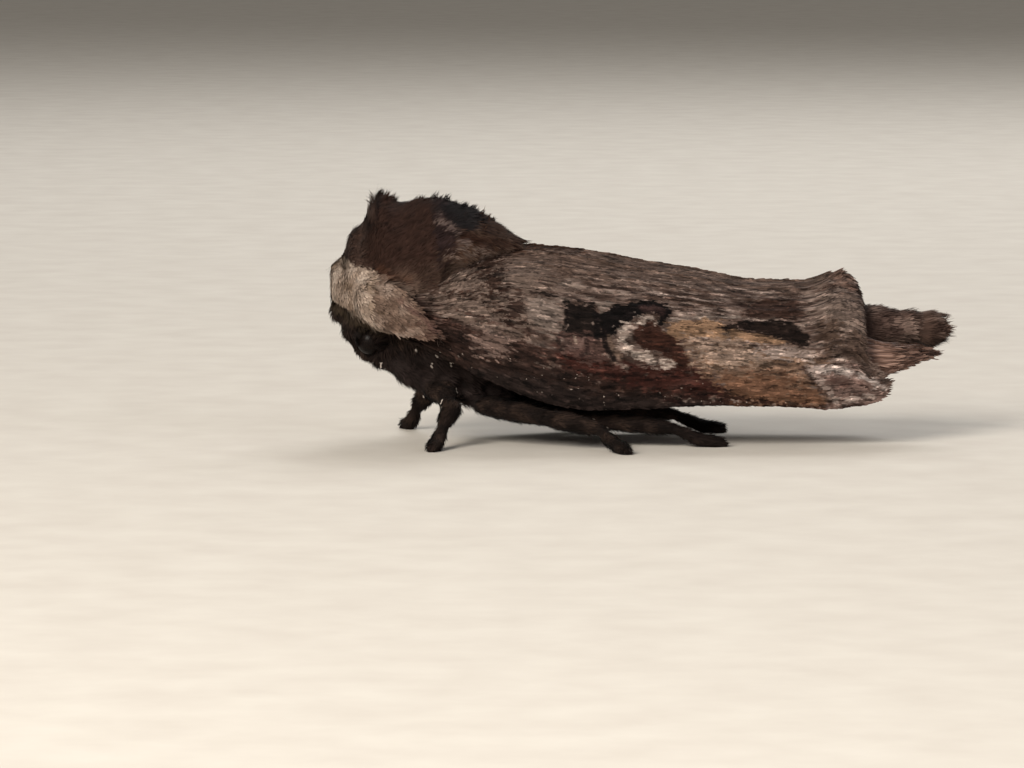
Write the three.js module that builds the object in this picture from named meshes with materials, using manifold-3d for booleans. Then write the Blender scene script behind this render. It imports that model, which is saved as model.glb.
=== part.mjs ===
// A large owlet moth at rest, life size, in millimetres.
//
// The moth stands on six feet on the plane z = 0, with its head towards -X, its tail towards +X and its
// back up. Its wings are folded like a steep roof, tight round the body, so that it looks like a broken
// twig. A tall crest of hair stands on the thorax, and the tip of the abdomen shows behind the wings.
//
// Every mesh is one closed solid. Neighbours keep a thin gap, so that no two of them touch. The outlines
// include the coat of hair and scales.

import * as THREE from "three";
import { mergeVertices } from "three/addons/utils/BufferGeometryUtils.js";
import Module from "manifold-3d";

const wasm = await Module();
wasm.setup();

// Driving dimensions

const GAP = 0.2; // clearance between neighbouring pieces of the body
const JOINT_GAP = 0.12; // clearance between two segments of a leg
const RIDGE_GAP = 0.1; // half of the slot between the two wings along the back
const WING_THICKNESS = 0.5;
const HEAD_END = -15; // front of the collar
const TAIL_END = 15; // tip of the abdomen

// Dimensions that change along the body: [x, value] pairs, and a smooth curve between them that never
// overshoots.

function along(stations) {
  const x = stations.map((s) => s[0]);
  const v = stations.map((s) => s[1]);
  const secant = x.slice(1).map((_, i) => (v[i + 1] - v[i]) / (x[i + 1] - x[i]));
  const slope = x.map((_, i) => {
    const before = secant[Math.max(i - 1, 0)];
    const after = secant[Math.min(i, secant.length - 1)];
    return before * after <= 0 ? 0 : (2 * before * after) / (before + after);
  });
  return (at) => {
    const a = THREE.MathUtils.clamp(at, x[0], x[x.length - 1]);
    let i = x.findIndex((right, k) => k > 0 && a <= right) - 1;
    if (i < 0) i = 0;
    const h = x[i + 1] - x[i];
    const t = (a - x[i]) / h;
    return (
      v[i] * (1 + 2 * t) * (1 - t) ** 2 +
      v[i + 1] * t * t * (3 - 2 * t) +
      h * t * (1 - t) * (slope[i] * (1 - t) - slope[i + 1] * t)
    );
  };
}

// Edge where the hair of the thorax ends and the wing, the shoulder plate or the collar begins.
const edgeHalfWidth = along([
  [-13.2, 2.9], [-12.4, 3.5], [-11.5, 3.9], [-10.4, 4.0], [-9.6, 3.9], [-9, 3.65], [-8.3, 3.2],
  [-7.6, 2.6], [-6.5, 1.5], [-5.2, 0.45],
]);
const edgeHeight = along([
  [-13.2, 8.9], [-12.4, 8.7], [-11.5, 8.25], [-10.4, 8.05], [-9.6, 8.1], [-9, 8.6], [-8.3, 8.95],
  [-7.6, 9.05], [-6.5, 9.1], [-5.2, 9.2],
]);

// Top line of the three crests of the thorax.
const crestHeight = along([
  [-13.1, 10.7], [-12.95, 11.7], [-12.75, 12.05], [-12.4, 12.0], [-11.6, 11.65], [-10.8, 11.8],
  [-9.7, 11.85], [-8.9, 11.65], [-8.2, 11.4], [-7.4, 10.95], [-6.9, 10.68], [-6.4, 10.35], [-5.8, 9.92],
  [-5.2, 9.64],
]);

// Forewing: the upper edge, the widest half-width, and the lower (front) edge of the folded wing.
const wingTopHalfWidth = along([
  [-11.2, 3.7], [-10.4, 3.75], [-9.6, 3.6], [-9, 3.35], [-8.3, 2.9], [-7.6, 2.3], [-6.5, 1.2],
  [-5.2, RIDGE_GAP], [14, RIDGE_GAP],
]);
const wingTopHeight = along([
  [-11.2, 7.7], [-10.4, 7.75], [-9.6, 7.8], [-9, 8.3], [-8.3, 8.65], [-7.6, 8.75], [-6.5, 8.85],
  [-5.2, 9.05], [-5, 9.5], [-3.8, 9.4], [-2.8, 9.23], [-0.9, 8.95], [1, 8.63], [3, 8.3], [4.9, 7.93],
  [5.9, 7.8], [8.1, 7.8], [8.8, 8.05], [9.6, 8.28], [10.1, 8.28], [10.4, 7.9], [11, 7.2], [12.4, 6.8],
  [14, 6.5],
]);
const wingHalfWidth = along([
  [-11.2, 3.85], [-10, 4.1], [-8.5, 4.5], [-6, 4.85], [-2, 4.95], [3, 4.75], [8, 4.3], [12.4, 3.7],
  [14, 3.1],
]);
const wingLowHeight = along([
  [-11.2, 5.35], [-9.6, 4.65], [-7.9, 3.6], [-5.8, 2.65], [-3.8, 2.05], [-1.9, 1.85], [0.5, 1.95],
  [3, 2.05], [7, 1.98], [9, 1.86], [10.2, 1.92], [11.3, 2.1], [12.3, 2.55], [14, 3.2],
]);
const wingRearEnd = along([
  [0, 10.4], [0.2, 10.95], [0.3, 11.05], [0.47, 11.1], [0.65, 11.22], [0.75, 11.55], [0.84, 12.05],
  [0.92, 12.3], [1, 11.7],
]);
const hindwingRearEnd = along([[0.2, 10.9], [0.4, 11.8], [0.62, 13.7], [0.75, 13.2], [0.86, 12]]);

// Collar: the cowl of the neck that covers the head.
const collarTop = along([
  [-15, 8.6], [-14.8, 8.75], [-14.4, 9.05], [-14.2, 9.5], [-14.1, 10.1], [-13.6, 10.5], [-13.2, 10.65],
  [-12.7, 10.7],
]);
const collarHalfWidth = along([[-15, 1.0], [-14.5, 2.1], [-13.8, 3.1], [-12.7, 3.95]]);
const collarLow = along([[-15, 6.95], [-14.2, 6.7], [-13.4, 6.15], [-12.7, 5.75]]);

// Abdomen: centre height and radius.
const abdomenHeight = along([[-4.8, 4.75], [0, 4.5], [5, 4.55], [9, 5.05], [11.3, 5.5], [15, 5.38]]);
const abdomenRadius = along([
  [-4.8, 2.6], [-3, 2.65], [0, 2.5], [3, 2.1], [5, 1.82], [9, 1.36], [11.3, 1.1], [13.5, 0.88],
  [15, 0.68],
]);

// Shape helpers

// Gives a mapped geometry one vertex at each point, faces that point out, and normals.
function closed(geometry) {
  geometry.deleteAttribute("normal");
  geometry.deleteAttribute("uv");
  const merged = mergeVertices(geometry, 1e-4);
  const p = merged.getAttribute("position");
  const index = merged.index.array;
  const corner = [new THREE.Vector3(), new THREE.Vector3(), new THREE.Vector3()];
  let volume = 0;
  for (let i = 0; i < index.length; i += 3) {
    corner.forEach((c, k) => c.fromBufferAttribute(p, index[i + k]));
    volume += corner[0].dot(corner[1].clone().cross(corner[2]));
  }
  if (volume < 0) {
    for (let i = 0; i < index.length; i += 3) {
      [index[i], index[i + 1]] = [index[i + 1], index[i]];
    }
  }
  merged.computeVertexNormals();
  return merged;
}

function mapVertices(geometry, place) {
  const p = geometry.getAttribute("position");
  const v = new THREE.Vector3();
  for (let i = 0; i < p.count; i++) {
    v.fromBufferAttribute(p, i);
    const moved = place(v);
    p.setXYZ(i, moved.x, moved.y, moved.z);
  }
  return closed(geometry);
}

// A plate or shell: outer(a, b) and inner(a, b) give its two faces for a and b from 0 to 1.
function shell(alongSegments, acrossSegments, outer, inner) {
  return mapVertices(new THREE.BoxGeometry(1, 1, 1, alongSegments, acrossSegments, 1), (v) =>
    v.z > 0 ? outer(v.x + 0.5, v.y + 0.5) : inner(v.x + 0.5, v.y + 0.5),
  );
}

// A rounded body: place(t, angle) gives the surface for t from 0 to 1, pole to pole, and the angle round it.
function rounded(aroundSegments, alongSegments, place) {
  return mapVertices(new THREE.SphereGeometry(1, aroundSegments, alongSegments), (v) =>
    place(Math.acos(THREE.MathUtils.clamp(v.y, -1, 1)) / Math.PI, Math.atan2(v.z, v.x)),
  );
}

// Ring positions and sizes that give a rounded body blunt ends: a smaller bluntness is a squarer end.
const POLE = 1e-6;
const ringPlace = (t) => (1 - Math.cos(Math.PI * t)) / 2;
const ringSize = (t, bluntness) => (t < POLE || t > 1 - POLE ? 0 : Math.sin(Math.PI * t) ** bluntness);

// A limb along a curve, with radius(s) at the share s of its length.
function limb(curve, radius, { around = 8, rings = 6, bluntness = 0.3 } = {}) {
  const chord = curve.getPoint(1).sub(curve.getPoint(0)).normalize();
  const reference = Math.abs(chord.x) < 0.6 ? point(1, 0, 0) : point(0, 1, 0);
  return rounded(around, rings, (t, angle) => {
    const s = ringPlace(t);
    const tangent = curve.getTangent(s);
    const side = reference.clone().cross(tangent).normalize();
    const up = tangent.clone().cross(side);
    const r = radius(s) * ringSize(t, bluntness);
    return curve
      .getPoint(s)
      .addScaledVector(side, r * Math.cos(angle))
      .addScaledVector(up, r * Math.sin(angle));
  });
}

const point = (x, y, z) => new THREE.Vector3(x, y, z);
function smoothCurve(points) {
  return new THREE.CatmullRomCurve3(points.map((p) => point(...p)), false, "centripetal");
}

// Half of an arch over the body, in the plane across it: x is the distance from the middle and y the height.
function halfArch(topHalfWidth, topHeight, halfWidth, lowHeight) {
  const drop = topHeight - lowHeight;
  const spread = halfWidth - topHalfWidth;
  return new THREE.CubicBezierCurve(
    new THREE.Vector2(topHalfWidth, topHeight),
    new THREE.Vector2(topHalfWidth + 0.45 * spread, topHeight - 0.1 * drop),
    new THREE.Vector2(topHalfWidth + 1.12 * spread, topHeight - 0.42 * drop),
    new THREE.Vector2(topHalfWidth + 0.9 * spread, lowHeight),
  );
}

// A point of that arch, moved inwards by depth and kept on its own side of the middle.
function archPoint(arch, b, depth, x, side) {
  const p = arch.getPoint(b);
  const tangent = arch.getTangent(b);
  p.x = Math.max(p.x + depth * tangent.y, RIDGE_GAP);
  p.y -= depth * tangent.x;
  return point(x, side * p.x, p.y);
}

// Solids that are cut by another one.

function solidOf(geometry) {
  const vertProperties = new Float32Array(geometry.getAttribute("position").array);
  const triVerts = new Uint32Array(geometry.index.array);
  return new wasm.Manifold(new wasm.Mesh({ numProp: 3, vertProperties, triVerts }));
}

function without(geometry, ...cutters) {
  let solid = solidOf(geometry);
  for (const cutter of cutters) {
    solid = solid.subtract(solidOf(cutter));
  }
  const mesh = solid.getMesh();
  const cut = new THREE.BufferGeometry();
  cut.setAttribute("position", new THREE.BufferAttribute(mesh.vertProperties, 3));
  cut.setIndex(new THREE.BufferAttribute(mesh.triVerts, 1));
  cut.computeVertexNormals();
  return cut;
}

// Materials

const material = (color, roughness) => new THREE.MeshStandardMaterial({ color, roughness, metalness: 0 });
const darkHair = material(0x2b1c18, 0.9);
const blackHair = material(0x16141a, 0.85);
const paleHair = material(0x9c8672, 0.85);
const wingScales = material(0x6b5648, 0.75);
const hindwingScales = material(0x8b7060, 0.7);
const abdomenHair = material(0x4a3833, 0.85);
const legHair = material(0x241b18, 0.8);
const eyeLens = material(0x1a110d, 0.2);

const moth = new THREE.Group();

function add(name, geometry, finish) {
  const mesh = new THREE.Mesh(geometry, finish);
  mesh.name = name;
  moth.add(mesh);
}

const SIDES = [["left", -1], ["right", 1]];

// Forewings: one curved plate on each side, from the ridge of the back down to the wing's front edge.

const wingArch = (x) => halfArch(wingTopHalfWidth(x), wingTopHeight(x), wingHalfWidth(x), wingLowHeight(x));
const WING_ROOT = -11.1;
function forewing(side) {
  const face = (depth) => (a, b) => {
    const x = THREE.MathUtils.lerp(WING_ROOT, wingRearEnd(b), a);
    return archPoint(wingArch(x), b, depth, x, side);
  };
  return shell(22, 9, face(0), face(WING_THICKNESS));
}

// Hindwings: folded plates between the forewings and the abdomen. Their fringe shows behind.

const HINDWING = { root: -4.6, inset: 0.75 };
const hindwingUpper = along([[-4.6, 0.22], [6, 0.25], [11, 0.42], [14, 0.52]]);
const hindwingLower = along([[-4.6, 0.8], [8, 0.82], [14, 0.84]]);
function hindwing(side) {
  const face = (depth) => (a, b) => {
    const reach = THREE.MathUtils.lerp(hindwingUpper(TAIL_END), hindwingLower(TAIL_END), b);
    const x = THREE.MathUtils.lerp(HINDWING.root, hindwingRearEnd(reach), a);
    const across = THREE.MathUtils.lerp(hindwingUpper(x), hindwingLower(x), b);
    return archPoint(wingArch(x), across, HINDWING.inset + depth, x, side);
  };
  return shell(12, 7, face(0), face(WING_THICKNESS));
}

for (const [name, side] of SIDES) {
  add(`forewing_${name}`, forewing(side), wingScales);
  add(`hindwing_${name}`, hindwing(side), hindwingScales);
}

// Thorax: the barrel that carries the legs and wings, mostly covered.

const THORAX = { front: -11.5, rear: -5.05, halfWidth: 3.1, middle: 5.4, low: 2.35 };
const thoraxTop = along([[-11.5, 8.75], [-9, 8.75], [-7.4, 8.0], [-5, 7.4]]);
const FLAT_BACK = 0.75; // below 1, the upper half of the section is boxy
function thoraxShape(grow) {
  return rounded(16, 9, (t, angle) => {
    const size = ringSize(t, 0.42);
    const x = THREE.MathUtils.lerp(THORAX.front - grow, THORAX.rear + grow, ringPlace(t));
    const upper = Math.sin(angle) > 0;
    const height = (upper ? thoraxTop(x) : THORAX.low) - THORAX.middle;
    const across = Math.sign(Math.cos(angle)) * Math.abs(Math.cos(angle)) ** (upper ? FLAT_BACK : 1);
    const rise = Math.abs(Math.sin(angle)) ** (upper ? FLAT_BACK : 1);
    return point(
      x,
      (THORAX.halfWidth + grow) * size * across,
      THORAX.middle + (height + Math.sign(height) * grow) * size * rise,
    );
  });
}

// Neck: the narrow ring in front of the thorax that bears the collar.

const NECK = { front: -13.0, rear: -11.7, halfWidth: 2.7, halfHeight: 1.0, middle: 7.8 };
add(
  "neck",
  rounded(14, 6, (t, angle) => {
    const size = ringSize(t, 0.3);
    return point(
      THREE.MathUtils.lerp(NECK.front, NECK.rear, ringPlace(t)),
      NECK.halfWidth * size * Math.cos(angle),
      NECK.middle + NECK.halfHeight * size * Math.sin(angle),
    );
  }),
  darkHair,
);

// Crests: three blocks of upright hair over the thorax, with a keel along the middle.

const KEEL = 1.35; // above 1, the section comes to a rounded peak
const RIM = 0.25; // height of a crest's vertical rim
const RECESS = 0.3; // how far the underside rises to the keel, as a share of the crest's height
function crest(front, rear) {
  const place = (a, b, top) => {
    const x = THREE.MathUtils.lerp(front, rear, a);
    const angle = Math.PI * b;
    const across = Math.sign(Math.cos(angle)) * Math.abs(Math.cos(angle)) ** KEEL;
    const rise = (crestHeight(x) - edgeHeight(x) - RIM) * Math.sin(angle);
    return point(x, edgeHalfWidth(x) * across, edgeHeight(x) + (top ? RIM + rise : RECESS * rise));
  };
  return shell(5, 10, (a, b) => place(a, b, true), (a, b) => place(a, b, false));
}
const CRESTS = { front: [-13.1, -11.45], middle: [-11.25, -9.0], rear: [-8.8, -5.25] };
add("thorax", thoraxShape(0), darkHair);
add("crest_front", crest(...CRESTS.front), darkHair);
add("crest_middle", crest(...CRESTS.middle), darkHair);
add("crest_rear", crest(...CRESTS.rear), blackHair);

// Collar: two plates that meet over the head.

const COLLAR_CAVITY = { top: 7.5, wall: 0.75 };
const collarRear = along([[0, -13.35], [0.5, -13.35], [0.75, -12.9], [1, -12.8]]);
for (const [name, side] of SIDES) {
  const outer = (a, b) => {
    const x = THREE.MathUtils.lerp(HEAD_END, collarRear(b), a);
    return archPoint(halfArch(RIDGE_GAP, collarTop(x), collarHalfWidth(x), collarLow(x)), b, 0, x, side);
  };
  const inner = (a, b) => {
    const x = THREE.MathUtils.lerp(HEAD_END, collarRear(b), a);
    const halfWidth = Math.max(collarHalfWidth(x) - COLLAR_CAVITY.wall, 0.3);
    return archPoint(halfArch(RIDGE_GAP, COLLAR_CAVITY.top, halfWidth, collarLow(x)), b, 0, x, side);
  };
  add(`collar_${name}`, shell(9, 8, outer, inner), paleHair);
}

// Shoulder plates (tegulae): leaf-shaped scale pads over the wing roots, pointed at the lower rear.

const TEGULA = { front: -12.6, rear: -9.5, thickness: 0.5 };
const tegulaTop = along([[-12.6, 7.7], [-12.3, 8.2], [-11.7, 8.0], [-10.8, 7.1], [-9.5, 5.65]]);
const tegulaLow = along([[-12.6, 6.0], [-12.3, 5.65], [-11.6, 5.4], [-10.4, 5.25], [-9.5, 5.3]]);
const tegulaReach = along([[-12.6, 4.1], [-11.4, 4.7], [-10.4, 4.95], [-9.5, 4.97]]);
for (const [name, side] of SIDES) {
  const face = (depth) => (a, b) => {
    const x = THREE.MathUtils.lerp(TEGULA.front, TEGULA.rear, a);
    const z = THREE.MathUtils.lerp(tegulaTop(x), tegulaLow(x), b);
    const curl = 0.045 * (z - 6.6) ** 2;
    return point(x, side * (tegulaReach(x) - curl - depth), z);
  };
  add(`tegula_${name}`, shell(9, 5, face(0), face(TEGULA.thickness)), paleHair);
}

// Abdomen: a tapering tube with a blunt brush at the tip, which is a piece of its own.

const ABDOMEN = { front: -4.85, brush: 13.2 };
function abdomenPart(front, rear, rings, bluntness) {
  return rounded(16, rings, (t, angle) => {
    const x = THREE.MathUtils.lerp(front, rear, ringPlace(t));
    const r = abdomenRadius(x) * ringSize(t, bluntness);
    return point(x, r * Math.cos(angle), abdomenHeight(x) + r * Math.sin(angle));
  });
}
add("abdomen", abdomenPart(ABDOMEN.front, ABDOMEN.brush - GAP, 16, 0.3), abdomenHair);
add("abdomen_brush", abdomenPart(ABDOMEN.brush, TAIL_END, 6, 0.35), abdomenHair);

// Head: a barrel that lies across, bowed under the collar, with a socket for each eye.

const HEAD = { x: -12.65, z: 5.35, halfWidth: 1.5, long: 1.2, short: 0.95, bow: Math.PI / 4 };
const EYE = { x: -12.92, y: 1.2, z: 4.9, radius: 0.78 };
const SOCKET_GAP = 0.2;
function headShape(grow) {
  return rounded(14, 10, (t, angle) => {
    const size = ringSize(t, 0.36);
    const up = (HEAD.long + grow) * size * Math.cos(angle);
    const forward = (HEAD.short + grow) * size * Math.sin(angle);
    return point(
      HEAD.x - up * Math.sin(HEAD.bow) - forward * Math.cos(HEAD.bow),
      THREE.MathUtils.lerp(-1, 1, ringPlace(t)) * (HEAD.halfWidth + grow),
      HEAD.z + up * Math.cos(HEAD.bow) - forward * Math.sin(HEAD.bow),
    );
  });
}
const eyeBall = (side, radius) =>
  closed(new THREE.SphereGeometry(radius, 14, 9).translate(EYE.x, side * EYE.y, EYE.z));
const palp = (side, grow) => {
  const joints = [[-13.05, side * 0.36, 4.1], [-13.55, side * 0.4, 4.7], [-14.0, side * 0.42, 5.5]];
  return limb(smoothCurve(joints), (s) => grow + 0.31 - 0.06 * s);
};
const sockets = SIDES.flatMap(([, side]) => [eyeBall(side, EYE.radius + SOCKET_GAP), palp(side, SOCKET_GAP)]);
add("head", without(headShape(0), ...sockets), darkHair);
const browCurve = smoothCurve([[-13.8, 0, 6.3], [-14.35, 0, 6.35], [-14.9, 0, 6.3]]);
const browShape = limb(browCurve, (s) => 0.62 - 0.12 * s, { around: 12 });
add("brow_tuft", without(browShape, headShape(JOINT_GAP)), darkHair);
for (const [name, side] of SIDES) {
  add(`eye_${name}`, eyeBall(side, EYE.radius), eyeLens);
  add(`palp_${name}`, without(palp(side, 0), eyeBall(side, EYE.radius + JOINT_GAP)), darkHair);
}

// Antennae: laid back along the flank under the shoulder plate, then tucked inside the front edge of the
// wing.

for (const [name, side] of SIDES) {
  const curve = smoothCurve([
    [-12.15, side * 1.85, 6.05], [-11.8, side * 2.6, 5.6], [-11.3, side * 3.3, 5.0],
    [-10.4, side * 3.65, 4.5], [-9.2, side * 3.75, 3.85], [-7.6, side * 3.65, 3.15],
    [-5.8, side * 3.5, 2.9], [-3.8, side * 3.6, 2.75], [-1.6, side * 3.65, 2.75],
  ]);
  add(`antenna_${name}`, limb(curve, () => 0.26, { around: 6, rings: 20 }), legHair);
}

// Legs: coxa, femur, tibia and tarsus. Each leg is a list of its joints, from the body to the toe.

const LEG_RADII = {
  fore: { coxa: 0.75, femur: 0.5, tibia: 0.46, tarsus: 0.27 },
  mid: { coxa: 0.6, femur: 0.52, tibia: 0.44, tarsus: 0.27 },
  hind: { coxa: 0.6, femur: 0.5, tibia: 0.42, tarsus: 0.26 },
};
const LEGS = {
  fore_left: [
    [-11.75, -0.95, 3.9], [-10.3, -1.6, 2.7], [-8.75, -3.0, 2.25], [-9.35, -3.95, 1.2],
    [-9.7, -4.9, 0.32], [-9.95, -5.7, 0.2],
  ],
  fore_right: [
    [-11.75, 0.95, 3.9], [-10.5, 1.6, 2.7], [-10.05, 3.2, 2.25], [-10.75, 4.1, 1.2], [-11.1, 4.9, 0.32],
    [-11.4, 5.6, 0.2],
  ],
  mid_left: [
    [-9.1, -0.95, 2.6], [-7.8, -1.95, 1.95], [-4.7, -3.7, 1.5], [-2.0, -4.7, 1.0], [-1.15, -5.9, 0.32],
    [-0.65, -6.9, 0.2],
  ],
  mid_right: [
    [-9.1, 0.95, 2.6], [-7.7, 1.95, 1.95], [-4.5, 3.8, 1.5], [-1.6, 4.7, 1.0], [-0.75, 5.8, 0.32],
    [-0.25, 6.7, 0.2],
  ],
  hind_left: [
    [-7.1, -0.9, 2.45], [-5.9, -1.55, 1.5], [-2.3, -2.9, 1.3], [1.6, -3.3, 0.9], [3.0, -3.3, 0.32],
    [4.1, -3.2, 0.2],
  ],
  hind_right: [
    [-7.1, 0.9, 2.45], [-5.9, 1.55, 1.5], [-2.2, 2.9, 1.3], [1.8, 3.4, 0.9], [3.2, 3.45, 0.32],
    [4.3, 3.4, 0.2],
  ],
};

// How far a segment stays back from a joint, so that its round end clears the next one at that bend.
function setback(before, joint, after, radius) {
  if (!before || !after) return 0;
  const bend = joint.clone().sub(before).angleTo(after.clone().sub(joint));
  return (radius + JOINT_GAP / 2) / Math.cos(bend / 2) - radius;
}

const floor = closed(new THREE.BoxGeometry(80, 80, 4).translate(0, 0, -2));

for (const [leg, list] of Object.entries(LEGS)) {
  const joints = list.map((p) => point(...p));
  const radii = LEG_RADII[leg.split("_")[0]];
  Object.entries(radii).forEach(([segment, radius], i) => {
    const widest = (k) => Math.max(radius, Object.values(radii)[k] ?? 0);
    const start = joints[i].clone();
    const end = joints[i + 1].clone();
    const direction = end.clone().sub(start).normalize();
    start.addScaledVector(direction, setback(joints[i - 1], joints[i], joints[i + 1], widest(i - 1)));
    if (segment === "tarsus") {
      const curve = smoothCurve([start.toArray(), joints[i + 1].toArray(), joints[i + 2].toArray()]);
      const foot = limb(curve, (s) => radius * (1 + 0.2 * s));
      add(`${leg}_${segment}`, without(foot, floor), legHair);
      return;
    }
    end.addScaledVector(direction, -setback(joints[i], joints[i + 1], joints[i + 2], widest(i + 1)));
    const shape = limb(new THREE.LineCurve3(start, end), (s) => radius * (1 - 0.15 * s));
    add(`${leg}_${segment}`, without(shape, thoraxShape(JOINT_GAP), headShape(JOINT_GAP)), legHair);
  });
}

export default moth;
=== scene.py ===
# %% [markdown]
# # An owlet moth at rest
#
# A large brown owlet moth stands on six feet with its wings folded tight, like a snapped twig. The frame
# that is loaded here holds its plain solids. This lesson dresses them: one skin for the body, two pairs of
# thin wings, faceted eyes, claws, and a coat of many thousand small hairs and scales over everything.
# Nothing is fitted by eye afterwards, because every piece is worked out in the frame's own place.

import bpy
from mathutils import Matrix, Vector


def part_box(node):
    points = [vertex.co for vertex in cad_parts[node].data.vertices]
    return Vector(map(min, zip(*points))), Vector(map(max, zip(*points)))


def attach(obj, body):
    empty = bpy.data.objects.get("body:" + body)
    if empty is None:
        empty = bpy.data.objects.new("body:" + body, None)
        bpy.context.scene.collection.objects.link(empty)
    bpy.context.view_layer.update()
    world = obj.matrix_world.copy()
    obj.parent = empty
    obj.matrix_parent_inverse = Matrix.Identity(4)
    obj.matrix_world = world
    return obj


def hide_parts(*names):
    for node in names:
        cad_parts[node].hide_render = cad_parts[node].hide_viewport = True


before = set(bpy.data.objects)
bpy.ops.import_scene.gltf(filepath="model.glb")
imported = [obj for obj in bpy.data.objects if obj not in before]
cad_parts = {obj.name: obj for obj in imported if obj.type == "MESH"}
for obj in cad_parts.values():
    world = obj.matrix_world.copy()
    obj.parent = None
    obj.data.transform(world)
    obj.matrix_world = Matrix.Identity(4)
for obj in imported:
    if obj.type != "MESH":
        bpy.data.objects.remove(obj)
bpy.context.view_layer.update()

# %% [markdown]
# A moth is measured in millimetres, and Blender's tools round off badly on things a tenth of a millimetre
# across. So each piece is modelled with one Blender unit as one millimetre, and is brought down to metres
# as its last step. Random choices come from one seeded generator, so each run grows the same moth.

# %% Libraries and units
import math

import bpy
import numpy as np
from mathutils import Matrix, Vector
from mathutils.bvhtree import BVHTree

MM = 0.001
chance = np.random.default_rng(7)


def unit(vectors):
    """The same directions, each of length one."""
    length = np.linalg.norm(vectors, axis=-1, keepdims=True)
    return vectors / np.maximum(length, 1e-9)


def linear(hex_colour):
    """An sRGB hex colour as the linear RGBA that shaders work in."""
    channels = [int(hex_colour[i:i + 2], 16) / 255 for i in (1, 3, 5)]
    bent = [c / 12.92 if c <= 0.04045 else ((c + 0.055) / 1.055) ** 2.4 for c in channels]
    return (*bent, 1.0)


# %% [markdown]
# ## The set
#
# The moth is shown as a curator would show it: on a plain pale floor, with one large soft light high on
# the left, weaker ones on the right and behind, and a pale room all round. The camera looks at its left
# side from a little above the floor. A long lens keeps the near and far feet about the same size. The
# lights are square panels, because a large panel gives the soft shadows of a window.

# %% Floor, lights and camera
FLOOR_RADIUS = 4
VIEW_RISE = math.radians(5.5)
VIEW_DISTANCE = 300 * MM
VIEW_WIDTH = 49.5 * MM
AIM = Vector((-6.11, 0, 2.71)) * MM
LIT_PLACE = Vector((-1, 0, 5)) * MM
SENSOR = 36

bpy.ops.object.select_all(action="DESELECT")
bpy.ops.mesh.primitive_circle_add(vertices=128, radius=FLOOR_RADIUS, fill_type="NGON")
floor = bpy.context.object
floor.name = "floor"


def soft_light(name, place, size, power, colour):
    """A square area light, turned to the moth. Place and size are in millimetres, power in watts."""
    data = bpy.data.lights.new(name, "AREA")
    data.size = size * MM
    data.energy = power
    data.color = linear(colour)[:3]
    light = bpy.data.objects.new(name, data)
    bpy.context.scene.collection.objects.link(light)
    light.location = Vector(place) * MM
    light.rotation_euler = (LIT_PLACE - light.location).to_track_quat("-Z", "Y").to_euler()


soft_light("window", (-160, -270, 170), 150, 1.45, "#fff8ee")
soft_light("reflector", (230, -170, 90), 220, 0.22, "#f4f6ff")
soft_light("back_light", (60, 240, 260), 200, 0.6, "#ffffff")

room = bpy.data.worlds.new("room")
room.use_nodes = True
room_light = room.node_tree.nodes["Background"]
room_light.inputs["Color"].default_value = linear("#dcd8d2")
room_light.inputs["Strength"].default_value = 0.3
bpy.context.scene.world = room
bpy.context.scene.view_settings.view_transform = "Standard"

camera_data = bpy.data.cameras.new("camera")
camera_data.sensor_width = SENSOR
camera_data.lens = SENSOR * VIEW_DISTANCE / VIEW_WIDTH
camera_data.clip_start = 0.01
camera_data.clip_end = 20
camera = bpy.data.objects.new("camera", camera_data)
bpy.context.scene.collection.objects.link(camera)
camera.location = AIM + VIEW_DISTANCE * Vector((0, -math.cos(VIEW_RISE), math.sin(VIEW_RISE)))
camera.rotation_euler = (AIM - camera.location).to_track_quat("-Z", "Y").to_euler()
bpy.context.scene.camera = camera
print("camera", [round(c * 1000) for c in camera.location], "mm, lens", round(camera_data.lens), "mm")

# %% [markdown]
# ## Meshes from arrays
#
# A coat is thousands of small alike shapes, which no one places by hand. Numpy works out all their corners
# at once, and this function turns the arrays into one mesh. Each named value that is stored on the
# corners, such as how far inside a marking a corner lies, can be read by a material.

# %% One mesh from arrays
UNWRAP = "OFBake"


def add_values(mesh, values):
    """Stores named numbers or vectors on the vertices, for materials to read."""
    for name, data in values.items():
        kind = "FLOAT_VECTOR" if np.ndim(data) == 2 else "FLOAT"
        layer = mesh.attributes.new(name, kind, "POINT")
        key = "vector" if kind == "FLOAT_VECTOR" else "value"
        layer.data.foreach_set(key, np.ascontiguousarray(data, np.float32).ravel())


def mesh_from_arrays(name, points, triangles, values, uv=None):
    """An object made of triangles. Points are in millimetres, and uv has one row for each point."""
    mesh = bpy.data.meshes.new(name)
    mesh.vertices.add(len(points))
    mesh.vertices.foreach_set("co", np.ascontiguousarray(points * MM, np.float32).ravel())
    mesh.loops.add(triangles.size)
    mesh.loops.foreach_set("vertex_index", np.ascontiguousarray(triangles, np.int32).ravel())
    mesh.polygons.add(len(triangles))
    mesh.polygons.foreach_set("loop_start", np.arange(0, triangles.size, 3, dtype=np.int32))
    mesh.polygons.foreach_set("use_smooth", np.ones(len(triangles), bool))
    if uv is not None:
        layer = mesh.uv_layers.new(name=UNWRAP)
        layer.data.foreach_set("uv", np.ascontiguousarray(uv[triangles.ravel()], np.float32).ravel())
    add_values(mesh, values)
    mesh.update(calc_edges=True)
    thing = bpy.data.objects.new(name, mesh)
    bpy.context.scene.collection.objects.link(thing)
    print(name, len(triangles), "triangles")
    return thing


# %% [markdown]
# Every hair and scale is a blade: a narrow strip that starts a little under the skin, leans away from it,
# and ends in a point. A table gives its outline as steps from root to tip, each with a share of the
# length, a share of the width, and how far it has bent up. A hair tapers to both ends, and a wing scale
# is a paddle that stays wide almost to its tip. Blender's own hair would be quicker to comb, but it isn't
# a mesh, and would be lost when the model is handed on. The unwrap of each blade is one tiny patch at
# its root's place.

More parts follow.
